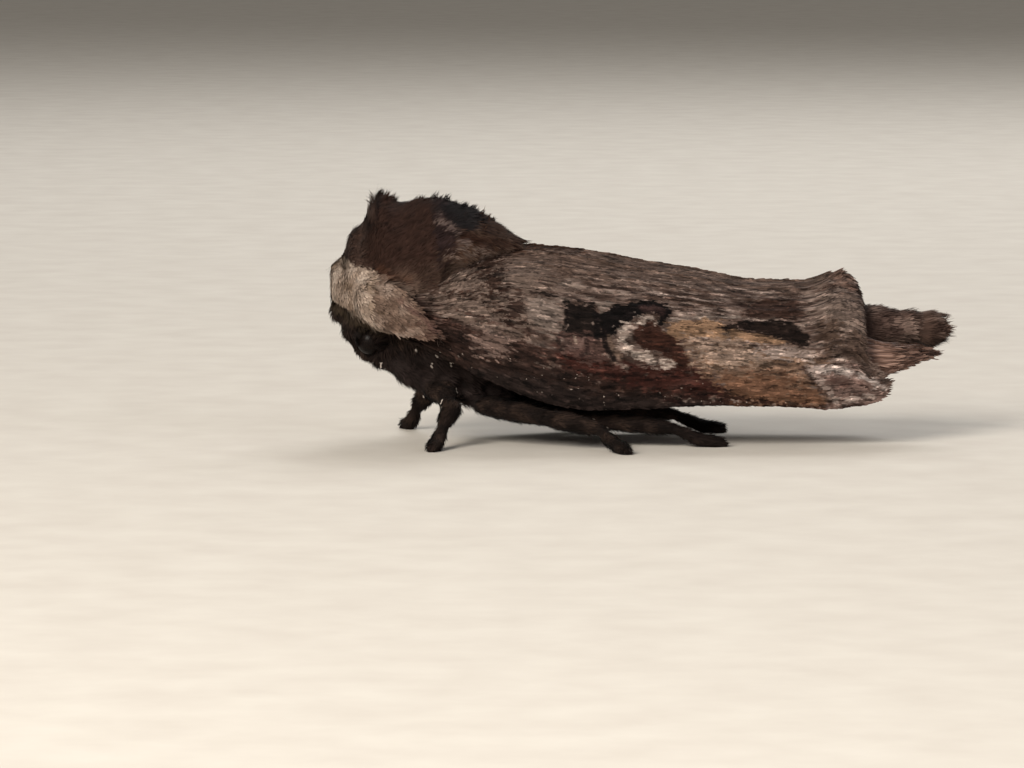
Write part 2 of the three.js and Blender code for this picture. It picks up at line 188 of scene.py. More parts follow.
# %% Blades, the small shapes of the coat
PATCH = 0.003
ROOT_DEPTH = 0.03
HAIR = [(0, 0.75, 0), (0.5, 1.0, 0.5), (1, 0, 1)]
SCALE = [(0, 0.4, 0), (0.35, 1.0, 0.45), (0.82, 0.85, 0.95), (1, 0, 1)]


def blades(outline, root, normal, lie, length, width, lift, curl, tone, uv):
    """Points, triangles, patch places and values of one blade at each root. Lengths are in millimetres."""
    count = len(root)
    across = unit(np.cross(normal, lie))
    points, along_blade, patch, corners = [], [], [], []
    for share, wide, bent in outline:
        height = length * (share * np.sin(lift) + curl * bent * bent) - ROOT_DEPTH
        centre = root + lie * (length * share * np.cos(lift))[:, None] + normal * height[:, None]
        sides = [0] if wide == 0 else [-0.5, 0.5]
        corners.append([len(points) + i for i in range(len(sides))])
        for side in sides:
            points.append(centre + across * (side * wide * width)[:, None])
            along_blade.append(np.full(count, share))
            patch.append(uv + PATCH * np.array([side * wide, share - 0.5]))
    strip = []
    for low, high in zip(corners, corners[1:]):
        strip.append((low[0], low[1], high[-1]))
        if len(high) == 2:
            strip.append((low[0], high[1], high[0]))
    per_blade = len(points)
    first = np.arange(count)[:, None, None] * per_blade
    return {
        "points": np.stack(points, 1).reshape(-1, 3),
        "triangles": (np.array(strip)[None] + first).reshape(-1, 3),
        "uv": np.clip(np.stack(patch, 1).reshape(-1, 2), 0, 1),
        "along": np.stack(along_blade, 1).ravel(),
        "tone": np.repeat(tone, per_blade),
        "per_blade": per_blade,
    }


# %% [markdown]
# ## Markings
#
# A moth's pattern is the same on its scales and on the skin beneath them, so it is written down once.
# Each marking is an outline or a stroke in millimetres, and for any place its signed depth is worked out:
# how far inside the marking's edge that place lies. A material turns the depth into a soft, ragged edge.
# That is sharper than colours painted on corners, because the edge falls between them, and it needs no
# picture.

# %% How deep a place lies in a marking
DEEPEST = 3


def marking(colour, soft, ragged, strength, *points, width=None):
    """An outline, or with a width a stroke, and how it is painted."""
    return dict(colour=colour, soft=soft, ragged=ragged, strength=strength, points=points, width=width)


def distance_to_line(x, y, ax, ay, bx, by):
    """Distance from each place to the straight line from a to b."""
    ex, ey = bx - ax, by - ay
    share = np.clip(((x - ax) * ex + (y - ay) * ey) / (ex * ex + ey * ey), 0, 1)
    return np.hypot(x - ax - share * ex, y - ay - share * ey)


def depth_in_outline(outline, x, y):
    """Distance in from the edge of a closed outline, and negative outside it."""
    nearest = np.full(x.shape, 1e9)
    inside = np.zeros(x.shape, bool)
    for (ax, ay), (bx, by) in zip(outline, outline[1:] + outline[:1]):
        nearest = np.minimum(nearest, distance_to_line(x, y, ax, ay, bx, by))
        inside ^= ((ay > y) != (by > y)) & (x < (bx - ax) * (y - ay) / ((by - ay) or 1) + ax)
    return np.where(inside, nearest, -nearest)


def depth_in_stroke(line, width, x, y):
    """Distance in from the edge of a stroke of this width, and negative outside it."""
    deepest = np.full(x.shape, -1e9)
    for (ax, ay), (bx, by) in zip(line, line[1:]):
        deepest = np.maximum(deepest, width / 2 - distance_to_line(x, y, ax, ay, bx, by))
    return deepest


def depths(markings, x, y):
    """The depth of every place in each marking, by the marking's name."""
    found = {}
    for name, mark in markings.items():
        if mark["width"]:
            depth = depth_in_stroke(mark["points"], mark["width"], x, y)
        else:
            depth = depth_in_outline(mark["points"], x, y)
        found[name] = np.clip(depth, -DEEPEST, DEEPEST)
    return found


print("depths are kept up to", DEEPEST, "mm inside and outside a marking's edge")


# %% [markdown]
# The wing's own map has x along the body and w from the ridge of the back round to the front edge of the
# wing, which hangs lowest. From the shoulder to the tip there are grey and brown fields with a few veins,
# a dark front edge, a black block and an oblique bar that meet like a bow tie, a kidney-shaped spot, an
# ochre streak that ends in a black dart, a tan field, and a lilac-white tip. Later markings lie over
# earlier ones. After its colour, each marking says how wide its edge fades and how far the streaks of
# the wing push that edge to and fro, both in millimetres, and how strongly it covers what is beneath.

# %% Markings of the forewing, in its own map
WING_MARKS = {
    "back_grey": marking("#5a4940", 0.8, 0.6, 0.7, (-7, -1), (0, -1), (9, -1), (9, 1.6), (5, 1.9), (0, 2.6),
            (-4, 3.4), (-7, 3.4)),
    "ridge_brown": marking("#3a261c", 0.35, 0.9, 0.9, (-7.4, -0.5), (-3.4, -0.5), (-2.6, 0.1), (-3.6, 0.5),
            (-4.8, 0.9), (-6, 1.3), (-7.2, 1.1)),
    "mauve_band": marking("#2e1e1a", 0.3, 0.35, 0.8, (-11.5, 3.6), (-10.5, 3.8), (-9.5, 6.2), (-8.2, 6.5),
            (-7.2, 6.9), (-5.5, 6.9), (-4, 6.6), (-2, 6.8), (-1.6, 7.4), (-4, 7.6), (-7.8, 8.4), (-10, 8)),
    "red_field": marking("#331914", 0.35, 0.5, 0.95, (-4.1, 6.9), (-1.9, 7), (-1.2, 7.3), (0, 7.3),
            (2, 7.4), (2.7, 7.3), (3.6, 8), (4.6, 8.5), (4.4, 9.1), (0, 9), (-1.9, 8.4), (-4, 8)),
    "base_light": marking("#6e5e55", 0.7, 1, 0.8, (-10, 2.2), (-8, 1.6), (-5, 2.2), (-4.2, 4), (-4.2, 6.2),
            (-6, 6.8), (-8, 6.8), (-9.6, 6.2)),
    "radial_vein": marking("#563e37", 0.12, 0.35, 0.85, (-10.4, 6.2), (-8.7, 7), (-7.15, 7.35),
            (-5.7, 7.45), (-4, 7.5), width=0.3),
    "vein_above": marking("#261712", 0.07, 0.25, 0.85, (-10.4, 5.8), (-8.7, 6.62), (-7.15, 7), (-5.7, 7.1),
            (-4.4, 7.1), width=0.12),
    "vein_below": marking("#261712", 0.07, 0.25, 0.8, (-10.2, 6.6), (-8.6, 7.4), (-7.1, 7.72), (-5.7, 7.8),
            width=0.11),
    "upper_vein": marking("#3b2a24", 0.08, 0.3, 0.8, (-10, 3.4), (-8.6, 4.2), (-6.4, 4.45), (-4.5, 4.6),
            width=0.14),
    "lower_vein": marking("#412d27", 0.08, 0.35, 0.75, (-9.6, 5.2), (-8, 6.1), (-6.5, 6.4), (-4.6, 6.5),
            width=0.16),
    "front_edge": marking("#261a16", 0.25, 0.5, 0.96, (-11.2, 7.6), (-10.3, 6.9), (-9.2, 7), (-8.3, 7.3),
            (-7.9, 7.9), (-6.9, 7.8), (-6.3, 7.35), (-5.2, 7.3), (-4.6, 7.6), (-4, 7.7), (-1.9, 7.9),
            (0, 8.4), (1.6, 8.65), (4.4, 8.8), (5.6, 9.05), (6, 10), (-11.5, 10)),
    "front_black": marking("#211a18", 0.3, 0.3, 0.9, (-7.6, 8.7), (-3.8, 8.2), (-1.9, 8.6), (2.4, 8.9),
            (3.3, 9.2), (3.3, 10), (-9, 10)),
    "base_blotch": marking("#2c1d17", 0.25, 0.9, 0.9, (-7.9, -0.2), (-6.9, -0.2), (-6.6, 2.4), (-6.6, 4.4),
            (-7.2, 4.9), (-7.8, 3)),
    "second_blotch": marking("#33231d", 0.25, 0.7, 0.8, (-7.2, 5.3), (-6.6, 5.4), (-6.6, 6), (-7.2, 6)),
    "blotch_low": marking("#2b1d18", 0.2, 0.8, 0.9, (-6.6, 5), (-5.5, 4.9), (-5.4, 6.1), (-6.3, 6.4)),
    "blotch_streak": marking("#33241e", 0.15, 0.5, 0.85, (-9, 4.3), (-7.9, 4.7), (-7, 4.9), width=0.35),
    "base_shade": marking("#33251f", 0.4, 0.7, 0.8, (-9.6, 0), (-8, 0), (-8, 1.4), (-9, 1.8), (-9.6, 1)),
    "fold": marking("#2e211c", 0.06, 0.05, 0.9, (-10.5, 1), (-9.6, 2.4), (-8.6, 3), (-7.6, 3.1),
            (-6.6, 3.1), width=0.14),
    "pale_patch": marking("#786a62", 0.2, 0.4, 0.85, (-5.3, 4.7), (-3.7, 4.7), (-3.7, 6.2), (-4.8, 6.4),
            (-5.3, 5.7)),
    "speckled_patch": marking("#725f57", 0.12, 0.6, 0.75, (-8, 7.3), (-6.7, 6.6), (-6.1, 7.1), (-6.4, 7.8),
            (-7.8, 8.2)),
    "long_line": marking("#241a17", 0.05, 0.04, 0.9, (-5.3, 4.35), (-3.8, 4.4), (-1.9, 4.25), width=0.1),
    "block": marking("#181210", 0.09, 0.25, 1, (-3.6, 4.6), (-2.2, 4.4), (-2.1, 5.2), (-2, 6.2),
            (-2.6, 6.4), (-3.2, 6.4), (-3.7, 6.2), (-3.5, 5.5)),
    "block_left": marking("#120c0b", 0.06, 0.06, 0.85, (-3.6, 4.6), (-3.5, 5.4), (-3.6, 6), (-3.9, 6.5),
            (-3.8, 7), (-3.6, 7.2), width=0.2),
    "under_block": marking("#4b3833", 0.15, 0.4, 0.85, (-3.8, 6.2), (-1.7, 6.1), (-1.3, 7.1), (-2.4, 7.3),
            (-3.8, 7.1)),
    "ring_one": marking("#6a5650", 0.08, 0.05, 0.8, (-3.7, 6.5), (-3.35, 6.85), (-2.85, 6.7), (-2.65, 6.3),
            width=0.15),
    "ring_two": marking("#1d1312", 0.07, 0.05, 0.8, (-2.6, 6.4), (-2.5, 6.85), (-2.8, 7.15), width=0.2),
    "ring_light": marking("#857468", 0.07, 0.03, 0.8, (-3.12, 6.35), (-3.05, 6.6), width=0.14),
    "bar": marking("#0e0a0a", 0.06, 0.25, 1, (-2.1, 5.2), (-1.7, 4.9), (-1.4, 4.6), (-0.7, 4.35), (0, 4),
            (0.5, 3.8), (1.1, 3.9), (1.4, 4.4), (1.35, 5.1), (1.1, 5.45), (0.9, 5.2), (0.95, 4.85),
            (0.6, 4.65), (0.1, 4.9), (-0.2, 5.2), (-0.7, 5.5), (-1.1, 5.85), (-1.1, 6.2), (-1.9, 6.2)),
    "junction": marking("#130e0d", 0.07, 0.1, 1, (-2.1, 5.15), (-2, 6.1), width=0.42),
    "bar_mauve": marking("#3a2a28", 0.12, 0.1, 0.8, (-0.1, 4.45), (0.5, 4.1), (1.2, 4.4), (1.15, 4.95),
            (0.7, 4.55), (0.1, 4.7)),
    "block_right": marking("#100b0b", 0.06, 0.04, 0.9, (-2.2, 4.4), (-2.05, 5.2), (-2.05, 6), width=0.13),
    "olive_hook": marking("#5a4a40", 0.1, 0.08, 0.8, (-1.5, 6.2), (-1.3, 6.8), (-1, 7.1), width=0.3),
    "hook": marking("#150e0d", 0.06, 0.04, 0.95, (-1.72, 6), (-1.7, 6.5), (-1.5, 6.85), (-1.25, 7.2),
            width=0.26),
    "wedge": marking("#7a6c64", 0.08, 0.06, 0.8, (-2.1, 4.4), (-1.9, 5), (-1.55, 4.65), (-1.2, 4.3),
            (-1.6, 4.2)),
    "kidney": marking("#2d1811", 0.1, 0.1, 0.95, (0.3, 5.05), (0.8, 5.35), (1.3, 5.7), (1.9, 6), (2.1, 6.5),
            (2.4, 7), (2.4, 7.5), (1.9, 7.6), (0.9, 6.8), (0.2, 6.7), (-0.3, 6.3), (-0.4, 5.8),
            (-0.1, 5.4)),
    "kidney_rim": marking("#9d8e84", 0.12, 0.35, 0.9, (0.5, 5), (-0.2, 5.35), (-0.9, 5.85), (-0.85, 6.3),
            (-0.5, 6.75), (0, 7), (0.7, 7.25), (1.4, 7.35), width=0.3),
    "pale_line": marking("#8f8178", 0.08, 0.08, 0.8, (1.4, 5), (2.9, 4.7), (4.8, 4.3), width=0.16),
    "ochre": marking("#836751", 0.12, 0.25, 0.95, (1.3, 5.2), (2.4, 4.9), (3.8, 4.75), (4.9, 5.25),
            (6, 5.35), (7.2, 5.8), (6.4, 6.05), (4.8, 5.9), (2.9, 6), (1.9, 6.1), (1.3, 5.8)),
    "tan": marking("#6d5647", 0.25, 0.55, 0.95, (2, 6.15), (2.9, 6), (4.8, 5.95), (7.1, 6.1), (8.3, 6.4),
            (9.1, 7.1), (7.9, 7.3), (8.2, 7.8), (8.9, 8.7), (9, 9.4), (5.2, 9.4), (4.4, 8.7), (3.6, 8.1),
            (2.7, 7.4), (2.2, 6.7)),
    "tan_light": marking("#907c6f", 0.4, 0.9, 0.75, (2.4, 6.2), (4.8, 6), (6.5, 6.6), (6, 7.3), (4, 7.5),
            (2.8, 7)),
    "rust": marking("#624636", 0.3, 0.8, 0.9, (3.6, 7.9), (5.7, 7.5), (7.1, 7.8), (8.7, 8.5), (9, 9.3),
            (7.2, 9.3), (4.4, 9.2)),
    "white_spot": marking("#8c7c74", 0.15, 0.4, 0.9, (5.4, 6.1), (7.1, 6.15), (8.6, 6.6), (8.3, 7),
            (6.7, 6.8), (5.6, 6.6)),
    "front_line": marking("#241512", 0.08, 0.3, 0.9, (1.2, 8.9), (3, 8.85), (4.6, 8.95), (6.7, 9.15),
            (9, 9.2), width=0.16),
    "tip_line": marking("#2b201c", 0.06, 0.1, 0.75, (6.6, 7.15), (8.6, 7.35), width=0.13),
    "smudge": marking("#33231d", 0.25, 0.35, 0.92, (4.9, 3.3), (5.8, 2.6), (7.5, 2.5), (7.8, 3.3),
            (7.8, 4.3), (5.7, 4.3), (5, 4.1)),
    "dart": marking("#1d1512", 0.1, 0.25, 1, (3.6, 5.15), (4.5, 4.75), (5.7, 4.45), (7.2, 4.4), (7.7, 5),
            (8.1, 5.5), (8, 6.2), (7.6, 6.1), (6.9, 5.7), (5.7, 5.25), (4.8, 5.15), (4.1, 5.3)),
    "rear_line": marking("#33261f", 0.06, 0.1, 0.7, (4.4, 2.8), (7, 2.7), width=0.12),
    "rear_light": marking("#75655c", 0.5, 1.1, 0.75, (8.4, 2.4), (10.2, 2.6), (11, 4), (11.3, 6.6),
            (9.4, 6.3), (8.6, 4.5)),
    "rear_brown": marking("#43332a", 0.2, 0.5, 0.8, (8.5, 4.6), (9.7, 5), (9.6, 6), (8.8, 6.5), (8.5, 5.8)),
    "rear_dark": marking("#46372f", 0.25, 0.5, 0.85, (9.4, 6.1), (10.9, 5), (11.2, 7.1), (10, 7)),
    "tip_lilac": marking("#6d5952", 0.12, 0.4, 0.9, (7.9, 7.2), (9.1, 7.4), (9.9, 7.2), (11, 7.5),
            (11.9, 8.2), (12.4, 9.5), (8.4, 9.5), (9.2, 8.9), (8.8, 8.3), (8.2, 7.8)),
    "tip_white": marking("#b3a59e", 0.15, 0.2, 0.9, (8.2, 7.4), (9.5, 7.5), (10.9, 7.8), (11.8, 8.5),
            width=0.3),
    "tip_boundary": marking("#a08e85", 0.12, 0.3, 0.8, (8.15, 7.3), (8.6, 8), (9.2, 8.65), (9.5, 9.2),
            width=0.2),
    "tip_lens": marking("#4a352f", 0.12, 0.2, 0.8, (9.1, 8), (9.9, 8.15), (10.8, 8.2), width=0.26),
    "tip_gap": marking("#33241f", 0.06, 0.12, 0.8, (9.5, 8.6), (10.1, 8.7), (10.7, 8.72), width=0.12),
    "tip_row": marking("#a8978e", 0.08, 0.2, 0.85, (9.3, 8.78), (10.05, 8.96), (10.65, 8.88), (11.2, 8.8),
            width=0.2),
    "tip_edge": marking("#33211c", 0.06, 0.12, 0.75, (9.4, 9.16), (10.7, 9.16), width=0.12),
    "oblique_line": marking("#35241d", 0.07, 0.08, 0.8, (7.8, 7.25), (8.25, 8), (8.95, 8.75), (9.2, 9.1),
            width=0.13),
    "margin": marking("#6a5a52", 0.15, 0.6, 0.6, (9.7, 2.7), (10.3, 3.4), (10.7, 4.2), (11.2, 5),
            (11.4, 6.3), (11.6, 7.2), (11.9, 8), width=0.4),
    "knob": marking("#665046", 0.2, 0.15, 0.8, (8.9, -0.5), (9.4, -0.5), (10.4, 0.2), (10.5, 1.6),
            (10.1, 2.2), (9.2, 1.2)),
    "hump": marking("#5a4c43", 0.2, 0.2, 0.7, (8, -0.5), (9.2, -0.5), (9.2, 1), (8.4, 0.9)),
}
print(len(WING_MARKS), "markings on each forewing")

# %% [markdown]
# The body's markings are drawn as seen from the side, in x along the body and z up, and lie the same on
# both flanks. A brown hood covers the crest down to the pale collar, and a blue-black tuft with pale scale
# tips along its lower edge stands on its rear. Grey streaks run down the slope behind it. The collar and
# the shoulder plate have a few dark specks and dashes, and the plate darkens towards the wing.

# %% Markings of the body, seen from the side
BODY_MARKS = {
    "hood": marking("#33231d", 0.1, 0.2, 0.97, (-15.8, 8.95), (-14.6, 8.8), (-13.6, 8.65), (-12.8, 8.5),
            (-12.2, 8.3), (-11.6, 8), (-10.5, 7.95), (-9.6, 8.2), (-10, 12.6), (-15.8, 12.6)),
    "plate_rear": marking("#5b493f", 0.8, 0.4, 0.85, (-11.6, 8.4), (-11, 6.9), (-11.2, 5), (-9, 5),
            (-9, 8.4)),
    "plate_tip": marking("#49362f", 0.3, 0.5, 0.88, (-10.2, 8.2), (-10.05, 7), (-10.15, 6.2), (-10.3, 5.2),
            (-8.6, 4.8), (-8.6, 8.2)),
    "slope": marking("#3b291f", 0.4, 0.6, 0.7, (-9.4, 9), (-9, 9.8), (-8.2, 9.9), (-7.5, 10.3),
            (-7.1, 11.2), (-5, 10), (-5, 8), (-9.5, 8)),
    "black_tuft": marking("#1a1718", 0.15, 0.3, 0.95, (-9.3, 11.75), (-8.4, 11.8), (-7.7, 11.4),
            (-7.3, 10.75), (-7.9, 10.2), (-8.6, 10.2), (-9.3, 10.9)),
    "slope_rear": marking("#56463d", 0.3, 0.9, 0.85, (-8.9, 9.1), (-7.6, 9.35), (-6.6, 9.75), (-6, 9.85),
            (-5.4, 9.6), (-4.8, 9.2), (-5, 7.8), (-9.4, 7.8)),
    "slope_streak": marking("#75645b", 0.12, 0.5, 0.8, (-8.9, 9.45), (-8.1, 9.5), (-7.3, 9.35), width=0.22),
    "slope_dark": marking("#2a1811", 0.15, 0.6, 0.85, (-8.4, 10), (-7.4, 9.8), (-6.6, 9.55), (-5.9, 9.45),
            width=0.3),
    "tuft_front": marking("#171113", 0.1, 0.08, 0.8, (-9.45, 11.5), (-9.3, 11), width=0.25),
    "tuft_pale": marking("#6b5b55", 0.1, 0.35, 0.75, (-9.6, 10.9), (-9.3, 10.7), (-8.95, 10.35),
            (-8.7, 9.95), (-8.3, 9.85), width=0.2),
    "tuft_pale_low": marking("#77665e", 0.06, 0.08, 0.7, (-8.75, 9.75), (-8, 9.7), width=0.1),
    "peak_light": marking("#4f4039", 0.2, 0.1, 0.7, (-13, 11.6), (-12.95, 11), width=0.35),
    "orange": marking("#4c3020", 0.25, 0.2, 0.45, (-12.4, 8.5), (-11.7, 8.15), (-11.1, 8.05), width=0.3),
    "speck_one": marking("#1a110e", 0.05, 0.1, 0.7, (-12.95, 10.55), (-12.3, 10.6), width=0.1),
    "speck_two": marking("#1a110e", 0.05, 0.08, 0.8, (-12.1, 10.65), (-11.9, 10.3), width=0.13),
    "ring": marking("#1f1511", 0.07, 0.06, 0.7, (-10.55, 9.75), (-10.35, 9.95), (-10.1, 9.95), width=0.12),
    "collar_edge": marking("#3a3026", 0.2, 0.15, 0.9, (-15.1, 8.4), (-15.15, 7.1), (-14.75, 6.6),
            (-14.1, 6.1), (-13.2, 5.6), (-12.5, 5.4), width=0.5),
    "collar_light": marking("#b3a190", 0.1, 0.06, 0.8, (-14.4, 8.9), (-14, 8.75), width=0.22),
    "collar_speck": marking("#4a3a2e", 0.05, 0.05, 0.7, (-14.3, 8.55), (-14.1, 8.45), width=0.16),
    "collar_dash": marking("#41342a", 0.06, 0.05, 0.85, (-12.75, 7.75), (-12.5, 7.45), width=0.16),
    "collar_low_dash": marking("#4a3b30", 0.06, 0.05, 0.8, (-12.5, 6.55), (-12.2, 6.5), width=0.15),
    "plate_streak": marking("#43322a", 0.06, 0.05, 0.8, (-11.15, 7.2), (-10.75, 7.6), width=0.15),
    "plate_patch": marking("#43342c", 0.1, 0.15, 0.8, (-10.35, 7.7), (-10.3, 7.3), width=0.3),
    "plate_low": marking("#4a382f", 0.07, 0.08, 0.7, (-11.1, 5.95), (-10.6, 6), width=0.13),
    "plate_mauve": marking("#55403a", 0.15, 0.15, 0.8, (-11.4, 7.1), (-10.4, 6.4), (-9.7, 5.7), width=0.3),
    "feeler_root": marking("#8a7567", 0.1, 0.1, 0.7, (-12.35, 5.45), (-11.95, 5.4), width=0.2),
}
print(len(BODY_MARKS), "markings on the body")

# %% [markdown]
# ## The shape of the wings
#
# Folded, each forewing is a roof: it starts almost level at the ridge of the back, curls over and hangs
# down the side, and tucks in a little at its lower edge, the front edge of the open wing. The arch at any
# place along the body is one cubic curve, whose four control points come from the ridge's height and
# half width, the widest half width, and the height of the lower edge. The same curves shaped the solids.

# %% A smooth curve through a few stations
def along(*stations):
    """A smooth curve through [x, value] pairs that never overshoots."""
    x, v = np.array(stations, float).T
    secant = np.diff(v) / np.diff(x)
    before = np.concatenate([secant[:1], secant])
    after = np.concatenate([secant, secant[-1:]])
    same_way = before * after > 0
    slope = np.where(same_way, 2 * before * after / np.where(same_way, before + after, 1), 0)

    def value(at):
        at = np.clip(at, x[0], x[-1])
        i = np.clip(np.searchsorted(x, at) - 1, 0, len(x) - 2)
        h = x[i + 1] - x[i]
        t = (at - x[i]) / h
        return (v[i] * (1 + 2 * t) * (1 - t) ** 2 + v[i + 1] * t * t * (3 - 2 * t)
                + h * t * (1 - t) * (slope[i] * (1 - t) - slope[i + 1] * t))

    return value


print("halfway from 0 to 1 lies", round(float(along((0, 0), (1, 1))(0.5)), 2))

# %% Dimensions that change along the body
RIDGE_GAP = 0.03
ridge_half = along((-11.2, 3.5), (-10.4, 3.4), (-9.6, 3.1), (-9, 2.75), (-8.3, 2.2), (-7.6, 1.5),
                   (-6.8, 0.7), (-6, RIDGE_GAP), (14, RIDGE_GAP))
ridge_height = along((-11.2, 7.8), (-10.4, 7.95), (-9.6, 8.25), (-9, 8.65), (-8.3, 9), (-7.6, 9.3),
                     (-6.8, 9.5), (-6, 9.6), (-5.2, 9.6), (-4.6, 9.55), (-3.8, 9.46), (-2.8, 9.31),
                     (-0.9, 9.01), (1, 8.68), (3, 8.34), (4.9, 7.99), (5.9, 7.89), (7.8, 7.87), (8.4, 8),
                     (8.9, 8.18), (9.4, 8.24), (10.1, 8.08), (10.4, 7.85), (10.9, 6.98), (12.4, 6.6),
                     (14, 6.4))
wing_half = along((-11.2, 3.85), (-10, 4.1), (-8.5, 4.5), (-6, 4.85), (-2, 4.95), (3, 4.75), (8, 4.3),
                  (12.4, 3.7), (14, 3.1))
wing_low = along((-11.2, 5.35), (-9.6, 4.65), (-7.9, 3.6), (-5.8, 2.65), (-3.8, 2.05), (-1.9, 1.85),
                 (0.5, 1.95), (3, 2.05), (7, 1.98), (8.9, 1.84), (10.2, 1.95), (11.3, 2.15), (12.3, 2.55),
                 (14, 3.2))
wing_rear = along((0, 10.6), (0.12, 10.8), (0.3, 10.78), (0.47, 10.72), (0.65, 10.8), (0.75, 11.1),
                  (0.84, 11.55), (0.92, 11.85), (1, 11.35))
WING_ROOT = -11.1
ARCH_OUT = (0, 0.45, 1.12, 0.9)
ARCH_DOWN = (0, 0.1, 0.42)
print("the wings' ridge is", round(float(ridge_height(WING_ROOT)), 2), "mm high at the shoulder")


def arch(x, b, depth):
    """Half width and height on the wing's arch, b from 0 at the ridge to 1 at the low edge."""
    half, top, low = ridge_half(x), ridge_height(x), wing_low(x)
    span, drop = wing_half(x) - half, top - low
    y = [half + out * span for out in ARCH_OUT]
    z = [top - down * drop for down in ARCH_DOWN] + [low]
    weight = [(1 - b) ** 3, 3 * b * (1 - b) ** 2, 3 * b * b * (1 - b), b ** 3]
    rate = [-3 * (1 - b) ** 2, 3 * (1 - b) * (1 - 3 * b), 3 * b * (2 - 3 * b), 3 * b * b]
    place = np.array([sum(w * p for w, p in zip(weight, c)) for c in (y, z)])
    run = np.array([sum(w * p for w, p in zip(rate, c)) for c in (y, z)])
    run = run / np.maximum(np.hypot(*run), 1e-9)
    return np.maximum(place[0] + depth * run[1], RIDGE_GAP), place[1] - depth * run[0]


# %% [markdown]
# A resting wing isn't smooth: stiff veins stand a few hundredths of a millimetre proud and fan out from
# the shoulder, and the thin skin between them sags. Towards the tip the sheet is gently pleated, and
# its outer edge is scalloped between the veins. All of this goes in as a depth, measured from the arch.

# %% Veins, pleats and scallops
W_SPAN = 9.2
COAT_ON_WING = 0.07
VEIN_STARTS = [0.9, 2.2, 3.3, 4.2, 4.9, 5.6, 6.3, 7.0, 8.0]
VEIN_ENDS = [1.6, 2.8, 3.8, 4.8, 5.7, 6.5, 7.3, 8.1, 8.8]
VEIN_HEIGHT, VEIN_WIDTH = 0.06, 0.11
PLEAT_HEIGHT = 0.04
SAG_DEPTH = 0.05
KNOB_HEIGHT, KNOB_X = 0.12, 9.75
GROOVE_DEPTH, GROOVE_X = 0.08, 9.3
FREE_FRINGE = 0.22


def relief(x, b):
    """How far the wing stands out from its arch, in millimetres."""
    w = b * W_SPAN
    share = np.clip((x + 9) / 20, 0, 1)
    height = 0
    for start, end in zip(VEIN_STARTS, VEIN_ENDS):
        middle = start + (end - start) * share + 0.08 * np.sin(x * 0.9 + start)
        height = height + VEIN_HEIGHT * np.exp(-((w - middle) / VEIN_WIDTH) ** 2)
    pleat = PLEAT_HEIGHT * np.clip((x - 4) / 7, 0, 1) * np.sin(w * 6.4 + 0.5 * x)
    sag = SAG_DEPTH * np.sin(0.8 * x + 1.7 * w) * np.sin(0.45 * x - 0.9 * w)
    knob = KNOB_HEIGHT * np.exp(-((x - KNOB_X) / 0.6) ** 4 - (w / 1.1) ** 4)
    groove = GROOVE_DEPTH * np.exp(-((x - GROOVE_X) / 0.16) ** 2 - (w / 1.2) ** 4)
    return height + pleat + sag + knob - groove - VEIN_HEIGHT


def wing_edge(b):
    """Where the wing ends at the rear, with a scallop between each pair of veins."""
    return wing_rear(b) - FREE_FRINGE + 0.09 * np.abs(np.sin(b * 30)) + 0.05 * np.sin(b * 87)


def wing_place(a, b, side, depth):
    """Points on a forewing. a runs from the shoulder to the rear edge."""
    x = WING_ROOT + a * (wing_edge(b) - WING_ROOT)
    y, z = arch(x, b, depth - relief(x, b))
    return np.stack([x, side * y, z], -1)


def wing_directions(a, b, side, depth):
    """Places on the wing with their outward normals and the lie of the scales, towards the rear edge."""
    step = 0.002
    place = wing_place(a, b, side, depth)
    rearward = wing_place(a + step, b, side, depth) - place
    lower, upper = np.clip(b + step, 0, 1), np.clip(b - step, 0, 1)
    downward = wing_place(a, lower, side, depth) - wing_place(a, upper, side, depth)
    normal = unit(np.cross(rearward, downward) * side)
    return place, normal, unit(rearward)


print(len(VEIN_STARTS), "veins, each", VEIN_HEIGHT, "mm proud")

# %% [markdown]
# The wing starts as a flat grid primitive, as fine as a tenth of a millimetre. Its two grid directions are
# the wing's own map, so each vertex is carried from the map to its place on the arch. A Solidify modifier
# then gives the sheet its thickness, inwards, so that the outside stays where it is. The square grid
# is also the wing's unwrap, and every scale that grows on the wing takes its patch from it. "tone" and
# "along" are what a blade stores about itself, and a sheet gets middling values of them.

# %% Working on one object
def on_all_of_mesh(*operations):
    """Runs mesh operators in edit mode on everything in the active object's mesh."""
    bpy.ops.object.mode_set(mode="EDIT")
    bpy.ops.mesh.select_all(action="SELECT")
    for operation in operations:
        operation()
    bpy.ops.object.mode_set(mode="OBJECT")


def only(thing):
    """Selects this object alone and makes it active."""
    bpy.ops.object.select_all(action="DESELECT")
    thing.select_set(True)
    bpy.context.view_layer.objects.active = thing


def apply_modifier(thing, kind, **settings):
    """Adds a modifier with its settings and applies it."""
    only(thing)
    modifier = thing.modifiers.new(kind.title(), kind)
    for key, value in settings.items():
        setattr(modifier, key, value)
    bpy.ops.object.modifier_apply(modifier=modifier.name)


def joined(name, things):
    """One object made of many."""
    only(things[0])
    for thing in things:
        thing.select_set(True)
    bpy.ops.object.join()
    bpy.context.object.name = name
    return bpy.context.object


def read(elements, key, width, kind=np.float32):
    """One property of all the vertices, edges, corners or triangles of a mesh, as rows of an array."""
    flat = np.empty(len(elements) * width, kind)
    elements.foreach_get(key, flat)
    return flat.reshape(-1, width)


def coordinates(thing):
    """The object's vertices as an array."""
    return read(thing.data.vertices, "co", 3).astype(float)


def set_coordinates(thing, points):
    """Moves the object's vertices."""
    thing.data.vertices.foreach_set("co", np.ascontiguousarray(points, np.float32).ravel())
    thing.data.update()


print("tools act on the active object, from", bpy.context.mode.lower(), "mode")

